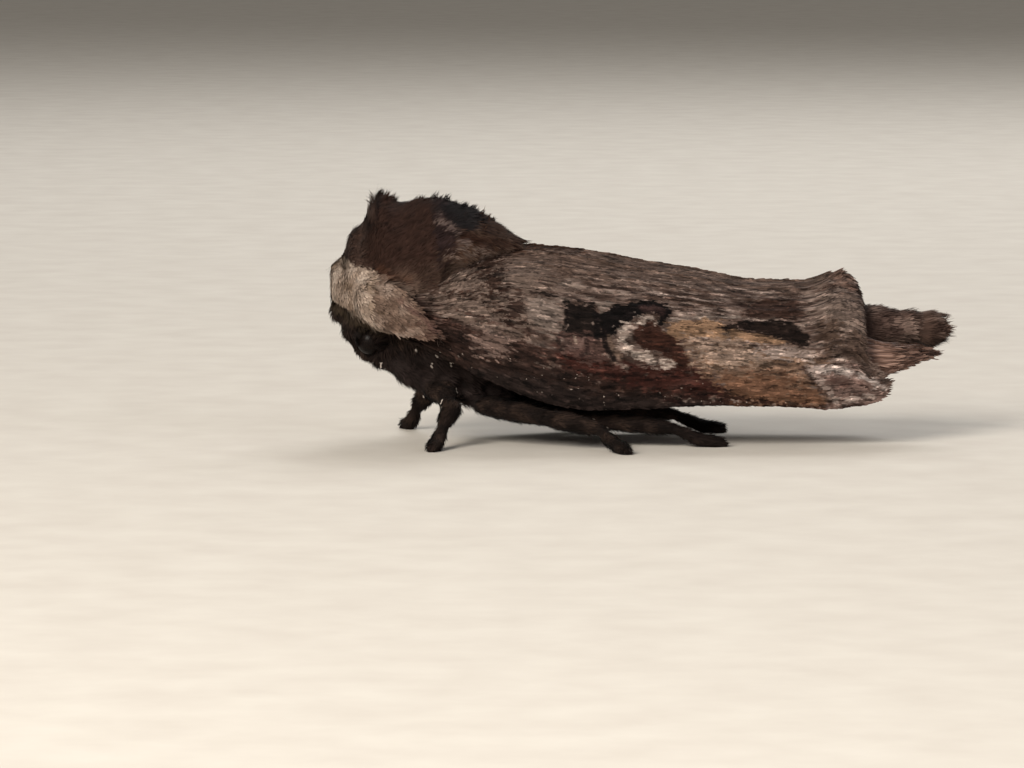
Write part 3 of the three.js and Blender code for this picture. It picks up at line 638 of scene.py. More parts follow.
# %% The forewing sheets
WING_THICKNESS = 0.2
WING_COLUMNS, WING_ROWS = 250, 96
# The sheet's along of 0.4 gives it a little of the painted shade that darkens the scales' roots.
SHEET_TONE, SHEET_ALONG = 0.5, 0.4
PATTERN_GAP = 5.0
SIDES = ((-1, "left"), (1, "right"))
forewings = {}


def sheet_from_grid(name, columns, rows, place, thickness, side):
    """A thin closed sheet: a grid whose map (a, b) is carried to its place, with a wall added inwards."""
    bpy.ops.object.select_all(action="DESELECT")
    bpy.ops.mesh.primitive_grid_add(x_subdivisions=columns, y_subdivisions=rows, size=1)
    sheet = bpy.context.object
    sheet.name = name
    flat = coordinates(sheet)
    a, b = flat[:, 0] + 0.5, flat[:, 1] + 0.5
    set_coordinates(sheet, place(a, b))
    if side < 0:
        on_all_of_mesh(bpy.ops.mesh.flip_normals)
    apply_modifier(sheet, "SOLIDIFY", thickness=thickness, offset=-1.0)
    return sheet, a, b


def wing_values(b, x, side, under):
    """What the wing material reads at each vertex. The two wings' patterns are a gap apart."""
    w = b * W_SPAN
    values = depths(WING_MARKS, x, w)
    values["map"] = np.stack([x, w, np.full(x.shape, side * PATTERN_GAP)], -1)
    values["under"] = under
    return values


for side, label in SIDES:
    sheet, a, b = sheet_from_grid("forewing_sheet_" + label, WING_COLUMNS, WING_ROWS,
                                  lambda a, b: wing_place(a, b, side, COAT_ON_WING), WING_THICKNESS, side)
    points = coordinates(sheet)
    x = np.tile(points[:len(a), 0], 2)
    under = np.repeat([0.0, 1.0], len(a))
    values = wing_values(np.tile(b, 2), x, side, under)
    values["tone"] = np.full(len(x), SHEET_TONE)
    values["along"] = np.full(len(x), SHEET_ALONG)
    add_values(sheet.data, values)
    forewings[label] = sheet
    print(sheet.name, len(sheet.data.polygons) * 2, "triangles,", np.ptp(points, 0).round(1), "mm")

# %% [markdown]
# The hindwings lie folded beneath the forewings, and only a strip of their fringe shows behind. They
# could be copies of the forewings, but they are shorter, thinner and reach further back. So they are the
# same kind of sheet on a slightly smaller arch, plain and gently pleated towards the rear.

# %% The hindwing sheets
HINDWING_ROOT = -4.6
HINDWING_INSET = 0.75
HINDWING_COAT = 0.05
HINDWING_THICKNESS = 0.12
HINDWING_COLUMNS, HINDWING_ROWS = 150, 50
HINDWING_PLEAT = 0.06
hindwing_top = along((-4.6, 0.22), (6, 0.25), (11, 0.42), (14, 0.52))
hindwing_bottom = along((-4.6, 0.8), (8, 0.82), (14, 0.84))
hindwing_rear = along((0.2, 12.6), (0.36, 13.6), (0.55, 13.9), (0.68, 13.2), (0.78, 12.5), (0.86, 11.8))


def hindwing_place(a, b, side):
    """Points on a hindwing. a runs from its root to its rear edge, and b down to its lower edge."""
    x = HINDWING_ROOT + a * (hindwing_rear(0.2 + 0.66 * b) + 0.08 * np.sin(b * 70) - HINDWING_ROOT)
    on_arch = hindwing_top(x) + b * (hindwing_bottom(x) - hindwing_top(x))
    pleat = HINDWING_PLEAT * np.clip((x - 6) / 6, 0, 1) * np.sin(b * 45)
    y, z = arch(x, on_arch, HINDWING_INSET + HINDWING_COAT - pleat)
    return np.stack([x, side * y, z], -1)


hindwings = {}
for side, label in SIDES:
    sheet = sheet_from_grid("hindwing_sheet_" + label, HINDWING_COLUMNS, HINDWING_ROWS,
                            lambda a, b: hindwing_place(a, b, side), HINDWING_THICKNESS, side)[0]
    points = coordinates(sheet)
    add_values(sheet.data, {"place": points, "tone": np.full(len(points), SHEET_TONE)})
    hindwings[label] = sheet
    print(sheet.name, len(sheet.data.polygons) * 2, "triangles,", np.ptp(points, 0).round(1), "mm")

# %% [markdown]
# ## One skin for the body
#
# On the living moth no seam shows between the collar, the shoulder plates, the breast and the legs. So
# copies of all those solids are joined, grown by a fifth of a millimetre until the thin gaps between
# them close, and remeshed into one closed skin of small even squares. A Smooth modifier melts the flats.
# The remesh forgets which solid a place came from, so each vertex of the skin looks up the nearest
# one again. That gives its region, which sets how deep the skin lies and what grows on it.
#
# Each region names its solids, the depth that the skin lies in, and the lie, which way its coat points.
# The rest is for one hair: its length and width, how many degrees it leans out, its curl, its outline,
# and how many grow on a square millimetre. All lengths are in millimetres.

# %% Regions of the coat
LEG_SEGMENTS = ("coxa", "femur", "tibia", "tarsus")
LEGS = [f"{pair}_{side}" for pair in ("fore", "mid", "hind") for side in ("left", "right")]
REGIONS = {
    "breast": dict(nodes=["thorax", "neck"] + [f"{leg}_coxa" for leg in LEGS],
                   depth=0.17, lie=(0.85, 0, -0.5),
                   length=0.5, width=0.05, lean=20, curl=-0.1, outline=HAIR, density=190),
    "crest": dict(nodes=["crest_front", "crest_middle"], depth=0.18, lie=(0.7, 0, 0.55),
                  length=0.36, width=0.045, lean=24, curl=-0.08, outline=HAIR, density=300),
    "saddle": dict(nodes=["crest_rear"], depth=0.12, lie=(1, 0, -0.3),
                   length=0.5, width=0.05, lean=18, curl=-0.08, outline=HAIR, density=300),
    "collar": dict(nodes=["collar_left", "collar_right"], depth=0.12, lie=(0.85, 0, -0.5),
                   length=0.42, width=0.075, lean=11, curl=-0.05, outline=SCALE, density=210),
    "plate": dict(nodes=["tegula_left", "tegula_right"], depth=0.1, lie=(0.9, 0, -0.35),
                  length=0.5, width=0.075, lean=10, curl=-0.05, outline=SCALE, density=190),
    "face": dict(nodes=["head", "brow_tuft", "palp_left", "palp_right"], depth=0.02, lie=(0.1, 0, -1),
                 length=0.42, width=0.045, lean=22, curl=-0.12, outline=HAIR, density=300),
    "brush": dict(nodes=["abdomen_brush"], depth=0.0, lie=(1, 0, 0),
                  length=0.7, width=0.06, lean=7, curl=0, outline=HAIR, density=300),
    "abdomen": dict(nodes=["abdomen"], depth=-0.04, lie=(1, 0, 0),
                    length=0.6, width=0.075, lean=15, curl=-0.05, outline=SCALE, density=140),
    "leg": dict(nodes=[f"{leg}_{part}" for leg in LEGS for part in LEG_SEGMENTS[1:]],
                depth=-0.05, lie=(0, 0, -1),
                length=0.34, width=0.045, lean=20, curl=-0.05, outline=HAIR, density=260),
}
flesh = [node for region in REGIONS.values() for node in region["nodes"]]
print(len(flesh), "solids of flesh in", len(REGIONS), "regions")

# %% [markdown]
# A few gaps are too wide for the growth to close: the knees, the hollow between head and breast, and the
# slot under the crest. They get fillings of their own: balls at the knees, ellipsoids round the throat,
# and lowered, slightly narrower copies of the crest that reach down inside the wings' upper edges.

# %% Fillings for the wider gaps
BRIDGE = {"femur": 0.42, "tibia": 0.36, "tarsus": 0.2}
FILLINGS = [((-12.0, 0.8, 4.1), (0.9, 0.8, 0.75)), ((-12.6, 0.5, 6.6), (1.6, 1.9, 1.2)),
            ((-11.2, 0.9, 3.4), (0.8, 0.8, 0.7)), ((-12.4, 2.6, 7.2), (0.9, 1.0, 1.6)),
            ((-11.2, 3.2, 7.4), (1.0, 0.55, 1.0)), ((13, 0, 5.5), (1.3, 0.75, 0.74)),
            ((-13.75, 0.45, 5.45), (0.55, 0.6, 0.6)), ((-13.58, 0.6, 9.8), (0.55, 0.8, 0.55)),
            ((-12.7, 3.2, 7.1), (1.1, 0.62, 1.25)), ((-14.2, 0.01, 7.5), (0.74, 0.6, 1.5)),
            ((-12.3, 3.35, 6.2), (0.9, 0.6, 0.8))]
SKIRTS = ((0.5, 0.97), (1.0, 0.93))
SKIRT_STRETCH = 1.03
copies = []


def add_copy(label, node, change):
    """A copy of one of the frame's solids, scaled up to millimetres and then changed by a matrix."""
    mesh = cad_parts[node].data.copy()
    mesh.materials.clear()
    mesh.transform(Matrix.Scale(1 / MM, 4))
    mesh.transform(change)
    copy = bpy.data.objects.new(f"{label}_of_{node}", mesh)
    bpy.context.scene.collection.objects.link(copy)
    copies.append(copy)


def add_filling(centre, radii):
    """An ellipsoid that fills a hollow between the solids."""
    bpy.ops.mesh.primitive_uv_sphere_add(segments=20, ring_count=12, location=tuple(centre),
                                         scale=tuple(radii))
    bpy.ops.object.transform_apply(location=True, rotation=False, scale=True)
    copies.append(bpy.context.object)


def bridge_between(first, second, size):
    """A ball across the gap between two neighbouring solids, where they come closest."""
    ends = [np.array([v.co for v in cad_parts[n].data.vertices]) / MM for n in (first, second)]
    gap = np.linalg.norm(ends[0][:, None] - ends[1][None], axis=2)
    i, j = np.unravel_index(gap.argmin(), gap.shape)
    reach = gap[i, j] + size * 0.7
    close = [ends[0][gap[:, j] < reach].mean(0), ends[1][gap[i] < reach].mean(0)]
    add_filling((close[0] + close[1]) / 2, (size, size, size))


for node in flesh:
    add_copy("copy", node, Matrix())

solid_points, solid_faces, face_node = [], [], []
for number, copy in enumerate(copies):
    first = len(solid_points)
    solid_points += [tuple(v.co) for v in copy.data.vertices]
    solid_faces += [[first + i for i in p.vertices] for p in copy.data.polygons]
    face_node += [number] * len(copy.data.polygons)
nearest_solid = BVHTree.FromPolygons(solid_points, solid_faces)

bpy.ops.object.select_all(action="DESELECT")
for leg in LEGS:
    for upper, lower in zip(LEG_SEGMENTS, LEG_SEGMENTS[1:]):
        bridge_between(f"{leg}_{upper}", f"{leg}_{lower}", BRIDGE[lower])
for centre, radii in FILLINGS:
    for side, _ in SIDES:
        add_filling((centre[0], centre[1] * side, centre[2]), radii)
for name in ("crest_front", "crest_middle", "crest_rear"):
    for drop, narrow in SKIRTS:
        narrowed = Matrix.Diagonal((SKIRT_STRETCH, narrow, 1, 1))
        add_copy("skirt", name, Matrix.Translation((0, 0, -drop)) @ narrowed)
print(len(flesh), "solids and", len(copies) - len(flesh), "fillings")

# %% Join, grow, remesh and smooth
WELD = 0.001
GROWTH = 0.22
VOXEL = 0.115
skin = joined("body_skin", copies)
on_all_of_mesh(lambda: bpy.ops.mesh.remove_doubles(threshold=WELD))
apply_modifier(skin, "DISPLACE", strength=GROWTH, mid_level=0.0)
apply_modifier(skin, "REMESH", mode="VOXEL", voxel_size=VOXEL)
apply_modifier(skin, "SMOOTH", factor=0.5, iterations=6)
print("the skin has", len(skin.data.vertices), "vertices")

# %% [markdown]
# Each vertex's region is a set of shares that add up to one. At first one share is all, and averaging
# each vertex with its neighbours a few times makes the regions fade into each other. The depths are mixed
# by the same shares, so the skin has no step where two regions meet. The lie of the coat is averaged in
# the same way. The broad parts are smoothed again by way of a vertex group, which spares the thin legs
# and the face, and the seam between the shoulder plate and its neighbours is smoothed most. The rear
# ends of the brush and of the crest lie a little deeper, so that their hair covers them.

# %% Look up regions and the lie of the coat
REGION_BLUR = 5
LIE_BLUR = 8
BROAD_SMOOTHING = 12
SEAM_SMOOTHING = 70
SEAM_GAIN = 12
BREAST_CENTRE = np.array([-8.5, 0, 5])
REAR_ENDS = (("saddle", -5.95, 0.7, 0.3), ("brush", 13.9, 1.0, 0.3))


def spread(values, edges, times):
    """Averages each vertex's values with its neighbours', a number of times."""
    count = np.bincount(edges.ravel(), minlength=len(values)).astype(float)[:, None]
    for _ in range(times):
        total = np.zeros_like(values)
        np.add.at(total, edges[:, 0], values[edges[:, 1]])
        np.add.at(total, edges[:, 1], values[edges[:, 0]])
        values = (values + total) / (1 + count)
    return values


def normals(thing):
    """The object's vertex normals as an array."""
    return read(thing.data.vertex_normals, "vector", 3).astype(float)


skin_edges = read(skin.data.edges, "vertices", 2, np.int32)
skin_points = coordinates(skin)

node_lie = []
for node in flesh:
    region = next(r for r in REGIONS.values() if node in r["nodes"])
    lie = np.array(region["lie"], float)
    if region is REGIONS["leg"]:
        corners = np.array([v.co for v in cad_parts[node].data.vertices]) / MM
        long_way = np.linalg.svd(corners - corners.mean(0), full_matrices=False)[2][0]
        lie = long_way * np.sign(np.dot(long_way, corners.mean(0) - BREAST_CENTRE))
    node_lie.append(lie)
node_region = [next(i for i, r in enumerate(REGIONS.values()) if node in r["nodes"]) for node in flesh]
node_lie, node_region = np.array(node_lie), np.array(node_region)

nearest_node = np.array([face_node[nearest_solid.find_nearest(Vector(p))[2]] for p in skin_points])
shares = spread(np.eye(len(REGIONS))[node_region[nearest_node]], skin_edges, REGION_BLUR)
skin_lie = spread(node_lie[nearest_node], skin_edges, LIE_BLUR)


def by_region(key):
    """One of the regions' numbers, mixed at each vertex."""
    return shares @ np.array([region[key] for region in REGIONS.values()], float)


def smooth_part(name, weights, iterations):
    """Smooths the skin where the weights are high, by way of a vertex group."""
    group = skin.vertex_groups.new(name=name)
    for tenths in range(1, 11):
        rows = np.flatnonzero(np.round(weights * 10) == tenths)
        group.add([int(row) for row in rows], tenths / 10, "REPLACE")
    apply_modifier(skin, "SMOOTH", factor=0.5, iterations=iterations, vertex_group=name)


share_of = dict(zip(REGIONS, shares.T))
broad = 1 - share_of["leg"] - share_of["face"] - share_of["abdomen"] - share_of["brush"]
smooth_part("broad", broad, BROAD_SMOOTHING)
seam = share_of["plate"] * (share_of["collar"] + share_of["crest"])
seam = spread(seam[:, None], skin_edges, 4)[:, 0]
smooth_part("seam", np.clip(seam * SEAM_GAIN, 0, 1), SEAM_SMOOTHING)

skin_points = coordinates(skin)
depth = GROWTH + by_region("depth")
for name, start, reach, sinks in REAR_ENDS:
    depth = depth + share_of[name] * np.clip((skin_points[:, 0] - start) / reach, 0, 1) ** 2 * sinks
set_coordinates(skin, skin_points - normals(skin) * depth[:, None])
apply_modifier(skin, "SMOOTH", factor=0.4, iterations=3)
skin_points, skin_normals = coordinates(skin), normals(skin)
skin_lie = skin_lie - skin_normals * np.sum(skin_lie * skin_normals, 1, keepdims=True)
skin_lie = unit(skin_lie + 1e-4)
print("the regions fade into each other over about", round(VOXEL * REGION_BLUR ** 0.5 * 2, 2), "mm")

# %% [markdown]
# Smart UV Project lays the skin's own surface out flat. The skin's unwrap is where each hair of the body
# finds its patch. It reads the mesh from every side, so hairs on the belly have a place of their own.
# The skin stores a darker tone than a hair's, and 0 as its place along a hair, both painted shade,
# because it is seen deep between the hairs' roots.

# %% Unwrap the skin and store its values
SKIN_SHADE_TONE = 0.35
only(skin)
on_all_of_mesh(lambda: bpy.ops.uv.smart_project(angle_limit=math.radians(66), island_margin=0.002))
skin.data.uv_layers.active.name = UNWRAP


def body_values(points, root, root_shares, per_blade=1):
    """What the body's materials read at each vertex. Region and noise are those of the root."""
    values = depths(BODY_MARKS, points[:, 0], points[:, 2])
    for number, name in enumerate(REGIONS):
        values[name] = np.repeat(root_shares[:, number], per_blade)
    values["place"] = np.repeat(root, per_blade, axis=0)
    return values


def body_values_of(root, root_shares):
    """A function that reads the body's values at the points of the blades on these roots."""
    return lambda points, per_blade: body_values(points, root, root_shares, per_blade)


values = body_values(skin_points, skin_points, shares)
# The skin's low tone and its 0 along a hair paint it darker: painted shade between the hairs' roots.
values["tone"] = np.full(len(skin_points), SKIN_SHADE_TONE)
values["along"] = np.zeros(len(skin_points))
add_values(skin.data, values)
print("unwrapped", len(skin.data.polygons), "faces")

# %% [markdown]
# ## The coat of the body
#
# Roots are scattered over the skin's triangles in proportion to their area and to how much of the region
# they hold. Each hair takes its direction from the lie of the coat, turned a little by a slow ripple so
# that neighbours part and gather in locks, and varies in length and lean. What the folded wings hide
# isn't grown. Skin and hair carry the same values, so a marking runs through both without a break.

# %% Roots on the skin
RIPPLE_TURN, RIPPLE_SIZE = 0.22, 0.45
skin.data.calc_loop_triangles()
triangle_corners = read(skin.data.loop_triangles, "vertices", 3, np.int32)
triangle_loops = read(skin.data.loop_triangles, "loops", 3, np.int32)
skin_uv = read(skin.data.uv_layers[UNWRAP].data, "uv", 2)
corner_points = skin_points[triangle_corners]
edge_one, edge_two = corner_points[:, 1] - corner_points[:, 0], corner_points[:, 2] - corner_points[:, 0]
triangle_area = 0.5 * np.linalg.norm(np.cross(edge_one, edge_two), axis=1)
print("the skin measures", round(triangle_area.sum()), "square millimetres")


def scatter(weight):
    """About sum(weight) roots on the skin: place, normal, lie, region shares and unwrapped place."""
    count = int(weight.sum())
    chosen = chance.choice(len(weight), count, p=weight / weight.sum())
    mix = chance.random((count, 2))
    mix = np.where(mix.sum(1, keepdims=True) > 1, 1 - mix, mix)
    mix = np.column_stack([1 - mix.sum(1), mix])

    def at(rows, corners):
        return np.einsum("ij,ijk->ik", mix, rows[corners[chosen]])

    return (at(skin_points, triangle_corners), unit(at(skin_normals, triangle_corners)),
            unit(at(skin_lie, triangle_corners)), at(shares, triangle_corners), at(skin_uv, triangle_loops))


def ripple(place, size):
    """A slow, even push to and fro that has no seam, as a vector for each place."""
    p = place / size
    return np.stack([np.sin(p[:, 1] * 2.3 + 1.7 * np.sin(p[:, 2] * 1.3)),
                     np.sin(p[:, 2] * 2.1 + 1.9 * np.sin(p[:, 0] * 1.1) + 1),
                     np.sin(p[:, 0] * 2.5 + 1.6 * np.sin(p[:, 1] * 1.4) + 2)], 1)


def lean_over(normal, lie, place, stray):
    """The lie, turned by the ripple and by chance, and kept in the skin's own plane."""
    turned = lie + RIPPLE_TURN * ripple(place, RIPPLE_SIZE) + stray * chance.normal(size=lie.shape)
    return unit(turned - normal * np.sum(turned * normal, 1, keepdims=True))


def under_the_wings(place):
    """True where the folded wings hide the body."""
    x, z = place[:, 0], place[:, 2]
    return (x > -9) & (x < 10) & (z > wing_low(x) + 0.9) & (z < ridge_height(x) - 0.1)


# %% [markdown]
# No two hairs are alike, so length, width and lean vary by chance by a quarter or more, and so does the
# tone, which makes one hair a little lighter than the next. Every coat piece is grown by the same
# function. Real hairs of this length are 0.01 mm thick. These are 0.05 mm, so that single ones show.

# %% Grow the coat of each region
LEAN_RANGE = (0.6, 1.45)
LENGTH_RANGE = (0.7, 1.25)
WIDTH_RANGE = (0.75, 1.2)
TONE, TONE_SPREAD = 0.5, 0.17
STRAY = 0.12
coats = {}


def grow(name, outline, root, normal, lie, length, width, lean, curl, uv, values_at):
    """One coat piece: blades at the roots, varied by chance, with the values of their roots."""
    count = len(root)
    lean = np.radians(lean) * chance.uniform(*LEAN_RANGE, count)
    made = blades(outline, root, normal, lie, length * chance.uniform(*LENGTH_RANGE, count),
                  width * chance.uniform(*WIDTH_RANGE, count), lean, curl * length,
                  chance.normal(TONE, TONE_SPREAD, count).clip(0, 1), uv)
    values = values_at(made["points"], made["per_blade"])
    values["tone"], values["along"] = made["tone"], made["along"]
    coats[name] = mesh_from_arrays(name, made["points"], made["triangles"], values, made["uv"])


middle = corner_points.mean(1)
facing_in = np.sign(middle[:, 1]) * skin_normals[triangle_corners[:, 0], 1] < -0.3
for number, (region_name, region) in enumerate(REGIONS.items()):
    weight = triangle_area * shares[triangle_corners, number].mean(1) * region["density"]
    if region_name in ("collar", "plate"):
        weight[facing_in] = 0
    elif region_name != "crest":
        weight[under_the_wings(middle)] = 0
    root, normal, lie, root_shares, uv = scatter(weight)
    lie = lean_over(normal, lie, root, STRAY)
    grow("coat_" + region_name, region["outline"], root, normal, lie, np.full(len(root), region["length"]),
         region["width"], region["lean"], region["curl"], uv, body_values_of(root, root_shares))

# %% [markdown]
# ## The scales of the wings
#
# Wing scales stand in rows like roof tiles, each one overlapping the next towards the rear edge. Real ones
# are a tenth of a millimetre long, so fine that a wing has a quarter of a million. They are drawn 0.5 mm
# long, five times that size, which is as fine as a model can carry, and gives the split-bark streaks.
# Single pale scales are strewn over the dark front field. At the rear edge longer, narrower scales stand
# free as a fringe, and short hairs line the lower edge.

# %% Scales and fringes of the forewings
SCALES_ALONG, SCALES_DOWN = 150, 170
SCALE_LENGTH, LAST_SCALE_LENGTH, SCALE_WIDTH = 0.5, 0.3, 0.09
FRINGE_COUNT, EDGE_HAIR_COUNT = 2600, 1500
PALE_SPECK_FIELD = [(-9, 7.8), (-6, 7.2), (-3, 7.4), (1, 7.8), (5, 8.6), (5, 9.3), (-9.5, 9.3)]
SPECKS_IN_FIELD, SPECKS_BELOW, SPECKS_ON_EDGE = 0.05, 0.004, 0.25
UNWRAP_MARGIN = 0.01


def wing_unwrap(a, b):
    """The wing's own map as a place in the unit square."""
    return np.stack([a, b], 1) * (1 - 2 * UNWRAP_MARGIN) + UNWRAP_MARGIN


def wing_values_on(b, side, speck):
    """A function that reads the wing's markings at each blade's own points."""
    def values_at(points, per_blade):
        x, rows = points[:, 0], np.repeat(b, per_blade)
        values = wing_values(rows, x, side, np.zeros(len(x)))
        values["speck"] = np.repeat(speck, per_blade)
        return values

    return values_at


def grow_on_wing(name, outline, a, b, side, turn, length, width, lean, curl, speck=0.0):
    """Blades on the outside of a forewing. turn leans their lie from the lower edge to the ridge."""
    root, normal, lie = wing_directions(a, b, side, COAT_ON_WING)
    down = unit(np.cross(lie, normal) * side)
    lie = unit(lie - down * np.tan(turn)[:, None])
    grow(name, outline, root, normal, lie, length, width, lean, curl, wing_unwrap(a, b),
         wing_values_on(b, side, np.broadcast_to(speck, len(b))))


def likely_specks(a, b):
    """How likely each place is to bear a pale speck: in the field, on the low half, on the front edge."""
    x, w = WING_ROOT + a * (wing_edge(b) - WING_ROOT), b * W_SPAN
    in_field = np.clip(depth_in_outline(PALE_SPECK_FIELD, x, w) * 2, 0, 1)
    likely = in_field * SPECKS_IN_FIELD + SPECKS_BELOW * (w > 5.5)
    return likely + SPECKS_ON_EDGE * (np.abs(w - 9.05) < 0.1) * (x > 1.5) * (x < 7)


for side, label in SIDES:
    a, b = np.meshgrid(np.linspace(0.03, 0.995, SCALES_ALONG), np.linspace(0, 1, SCALES_DOWN))
    a = (a + chance.uniform(-0.5, 0.5, a.shape) / SCALES_ALONG).ravel().clip(0.01, 0.999)
    b = (b + chance.uniform(-0.5, 0.5, b.shape) / SCALES_DOWN).ravel().clip(0.002, 0.998)
    grow_on_wing("scales_" + label, SCALE, a, b, side, chance.normal(0, 0.07, len(a)),
                 np.where(a > 0.975, LAST_SCALE_LENGTH, SCALE_LENGTH), SCALE_WIDTH, 5, -0.02)
    chosen = chance.random(len(a)) < likely_specks(a, b)
    a, b = a[chosen], b[chosen]
    grow_on_wing("wing_specks_" + label, SCALE, a, b, side, chance.normal(0, 0.5, len(a)),
                 chance.uniform(0.1, 0.24, len(a)), 0.06, 9, 0.15, chance.uniform(0.5, 1, len(a)))
    b = chance.uniform(0.01, 0.995, FRINGE_COUNT)
    a = 1 - chance.uniform(0, 0.018, FRINGE_COUNT)
    grow_on_wing("fringe_" + label, SCALE, a, b, side, chance.normal(0.05, 0.14, FRINGE_COUNT),
                 chance.uniform(0.3, 0.55, FRINGE_COUNT), 0.07, 6, 0.0)
    a = chance.uniform(0.08, 0.99, EDGE_HAIR_COUNT)
    b = 1 - chance.uniform(0, 0.02, EDGE_HAIR_COUNT)
    grow_on_wing("edge_hair_" + label, HAIR, a, b, side, chance.normal(0.12, 0.1, EDGE_HAIR_COUNT),
                 chance.uniform(0.15, 0.32, EDGE_HAIR_COUNT), 0.04, 6, 0.0)

# %% [markdown]
# The fringe of the hindwings is longer and softer, and pale. It shows behind the forewings under the tip
# of the abdomen. It is grown like the forewings' fringe, but its roots lie deeper in from the edge, so
# that the long scales overlap in several rows.

# %% Fringe of the hindwings
HINDWING_FRINGE_COUNT = 2200


def hindwing_values_on(root):
    """A function that gives each blade the place of its root."""
    return lambda points, per_blade: {"place": np.repeat(root, per_blade, axis=0)}


for side, label in SIDES:
    b = chance.uniform(0.02, 0.98, HINDWING_FRINGE_COUNT)
    a = 1 - chance.uniform(0, 0.1, HINDWING_FRINGE_COUNT)
    step = 0.003
    root = hindwing_place(a, b, side)
    rearward = hindwing_place(a + step, b, side) - root
    downward = hindwing_place(a, b + step, side) - root
    normal = unit(np.cross(rearward, downward) * side)
    lie = unit(unit(rearward) + 0.15 * unit(downward) + 0.06 * chance.normal(size=root.shape))
    grow("hindwing_fringe_" + label, SCALE, root, normal, lie,
         chance.uniform(0.4, 0.8, HINDWING_FRINGE_COUNT), 0.08, 5, 0.0,
         wing_unwrap(a, b), hindwing_values_on(root))

# %% [markdown]
# ## Tufts that stand out
#
# The crest's silhouette has teeth: pointed locks of hair that lean back along its keel, with smaller ones
# on its rear. Behind the crest, flat locks reach over the upper edges of the wings, and six locks make
# the point of the tail. A lock is a bunch of hairs whose roots are a little apart and whose tips meet,
# so each hair is aimed at its lock's tip. A few white scales are also strewn on the breast and the legs.

# %% Locks of hair
HAIRS_IN_LOCK = 30
TIP_SPREAD = 0.45


def nearest_on_skin(places):
    """The skin's place, normal, shares and unwrapped place nearest to each place."""
    tree = BVHTree.FromPolygons([tuple(p) for p in skin_points], [tuple(t) for t in triangle_corners])
    found = [tree.find_nearest(Vector(p)) for p in places]
    corner = np.array([triangle_corners[f[2]][0] for f in found])
    loop = np.array([triangle_loops[f[2]][0] for f in found])
    return np.array([f[0] for f in found]), skin_normals[corner], shares[corner], skin_uv[loop]


def grow_locks(name, starts, tips, spread_out, width):
    """One piece of locks. Each starts round a place on the skin and ends at its own tip."""
    starts, tips = np.repeat(starts, HAIRS_IN_LOCK, axis=0), np.repeat(tips, HAIRS_IN_LOCK, axis=0)
    starts = starts + chance.normal(0, spread_out, starts.shape)
    root, normal, root_shares, uv = nearest_on_skin(starts)
    tips = tips + chance.normal(0, spread_out * TIP_SPREAD, tips.shape)
    aim = tips - root
    lie = unit(aim)
    flat_normal = unit(np.cross(lie, np.cross(normal, lie)) + 1e-4)
    grow(name, HAIR, root, flat_normal, lie, np.linalg.norm(aim, axis=1), width, 1, 0.0, uv,
         body_values_of(root, root_shares))


# %% Locks of the crest
keel = along((-13.1, 10.7), (-12.95, 11.7), (-12.75, 12.05), (-12.4, 12), (-11.6, 11.65), (-10.8, 11.8),
             (-9.7, 11.85), (-8.9, 11.65), (-8.2, 11.4), (-7.4, 10.95), (-6.9, 10.68), (-6.4, 10.35),
             (-5.8, 9.92))
KEEL_LOCKS = ((-13.1, -12, 11), (-10.9, -9.5, 6), (-9.2, -7.2, 9))
KEEL_RISES = ((0.46, 4), (0.36, 7), (0.38, 6), (0.3, 9))
KEEL_SUNK = 0.35
REAR_LOCKS = 24
CREST_HAIR_WIDTH, CREST_LOCK_SPREAD = 0.045, 0.16

keel_x = np.concatenate([np.linspace(*row) for row in KEEL_LOCKS])
keel_rise = np.concatenate([np.full(count, rise) for rise, count in KEEL_RISES])
keel_starts = np.stack([keel_x, chance.normal(0, 0.3, len(keel_x)), keel(keel_x) - KEEL_SUNK], 1)
keel_lean = chance.uniform(0.1, 0.4, len(keel_x)) - 0.25 * (keel_x < -12.8)
keel_tips = keel_starts + np.stack([keel_lean, chance.normal(0, 0.08, len(keel_x)),
                                    keel_rise * chance.uniform(0.7, 1.2, len(keel_x))], 1)
rear_x = chance.uniform(-9.3, -7.6, REAR_LOCKS)
rear_y = chance.uniform(0.3, 1.6, REAR_LOCKS) * np.tile([-1, 1], REAR_LOCKS // 2)
rear_starts = np.stack([rear_x, rear_y, keel(rear_x) - KEEL_SUNK - 0.35 * np.abs(rear_y)], 1)
rear_tips = rear_starts + np.stack([chance.uniform(0.3, 0.5, REAR_LOCKS), 0.12 * rear_y,
                                    chance.uniform(0.15, 0.35, REAR_LOCKS)], 1)
grow_locks("crest_locks", np.concatenate([keel_starts, rear_starts]),
           np.concatenate([keel_tips, rear_tips]), CREST_LOCK_SPREAD, CREST_HAIR_WIDTH)

# %% Locks over the upper edges of the wings
SHAWL_LOCKS = 34
shawl_x = np.tile(np.linspace(-9.2, -5.75, SHAWL_LOCKS), 2)
shawl_side = np.repeat([-1, 1], SHAWL_LOCKS)


def over_the_wing(x, rise):
    """Places just over the upper edges of the wings."""
    y, z = arch(x, np.full_like(x, 0.03), -rise)
    return np.stack([x, shawl_side * y, z], 1)


grow_locks("shawl_locks", over_the_wing(shawl_x - 0.25, 0.3),
           over_the_wing(shawl_x + chance.uniform(0.3, 0.7, len(shawl_x)), 0.08), 0.1, 0.05)

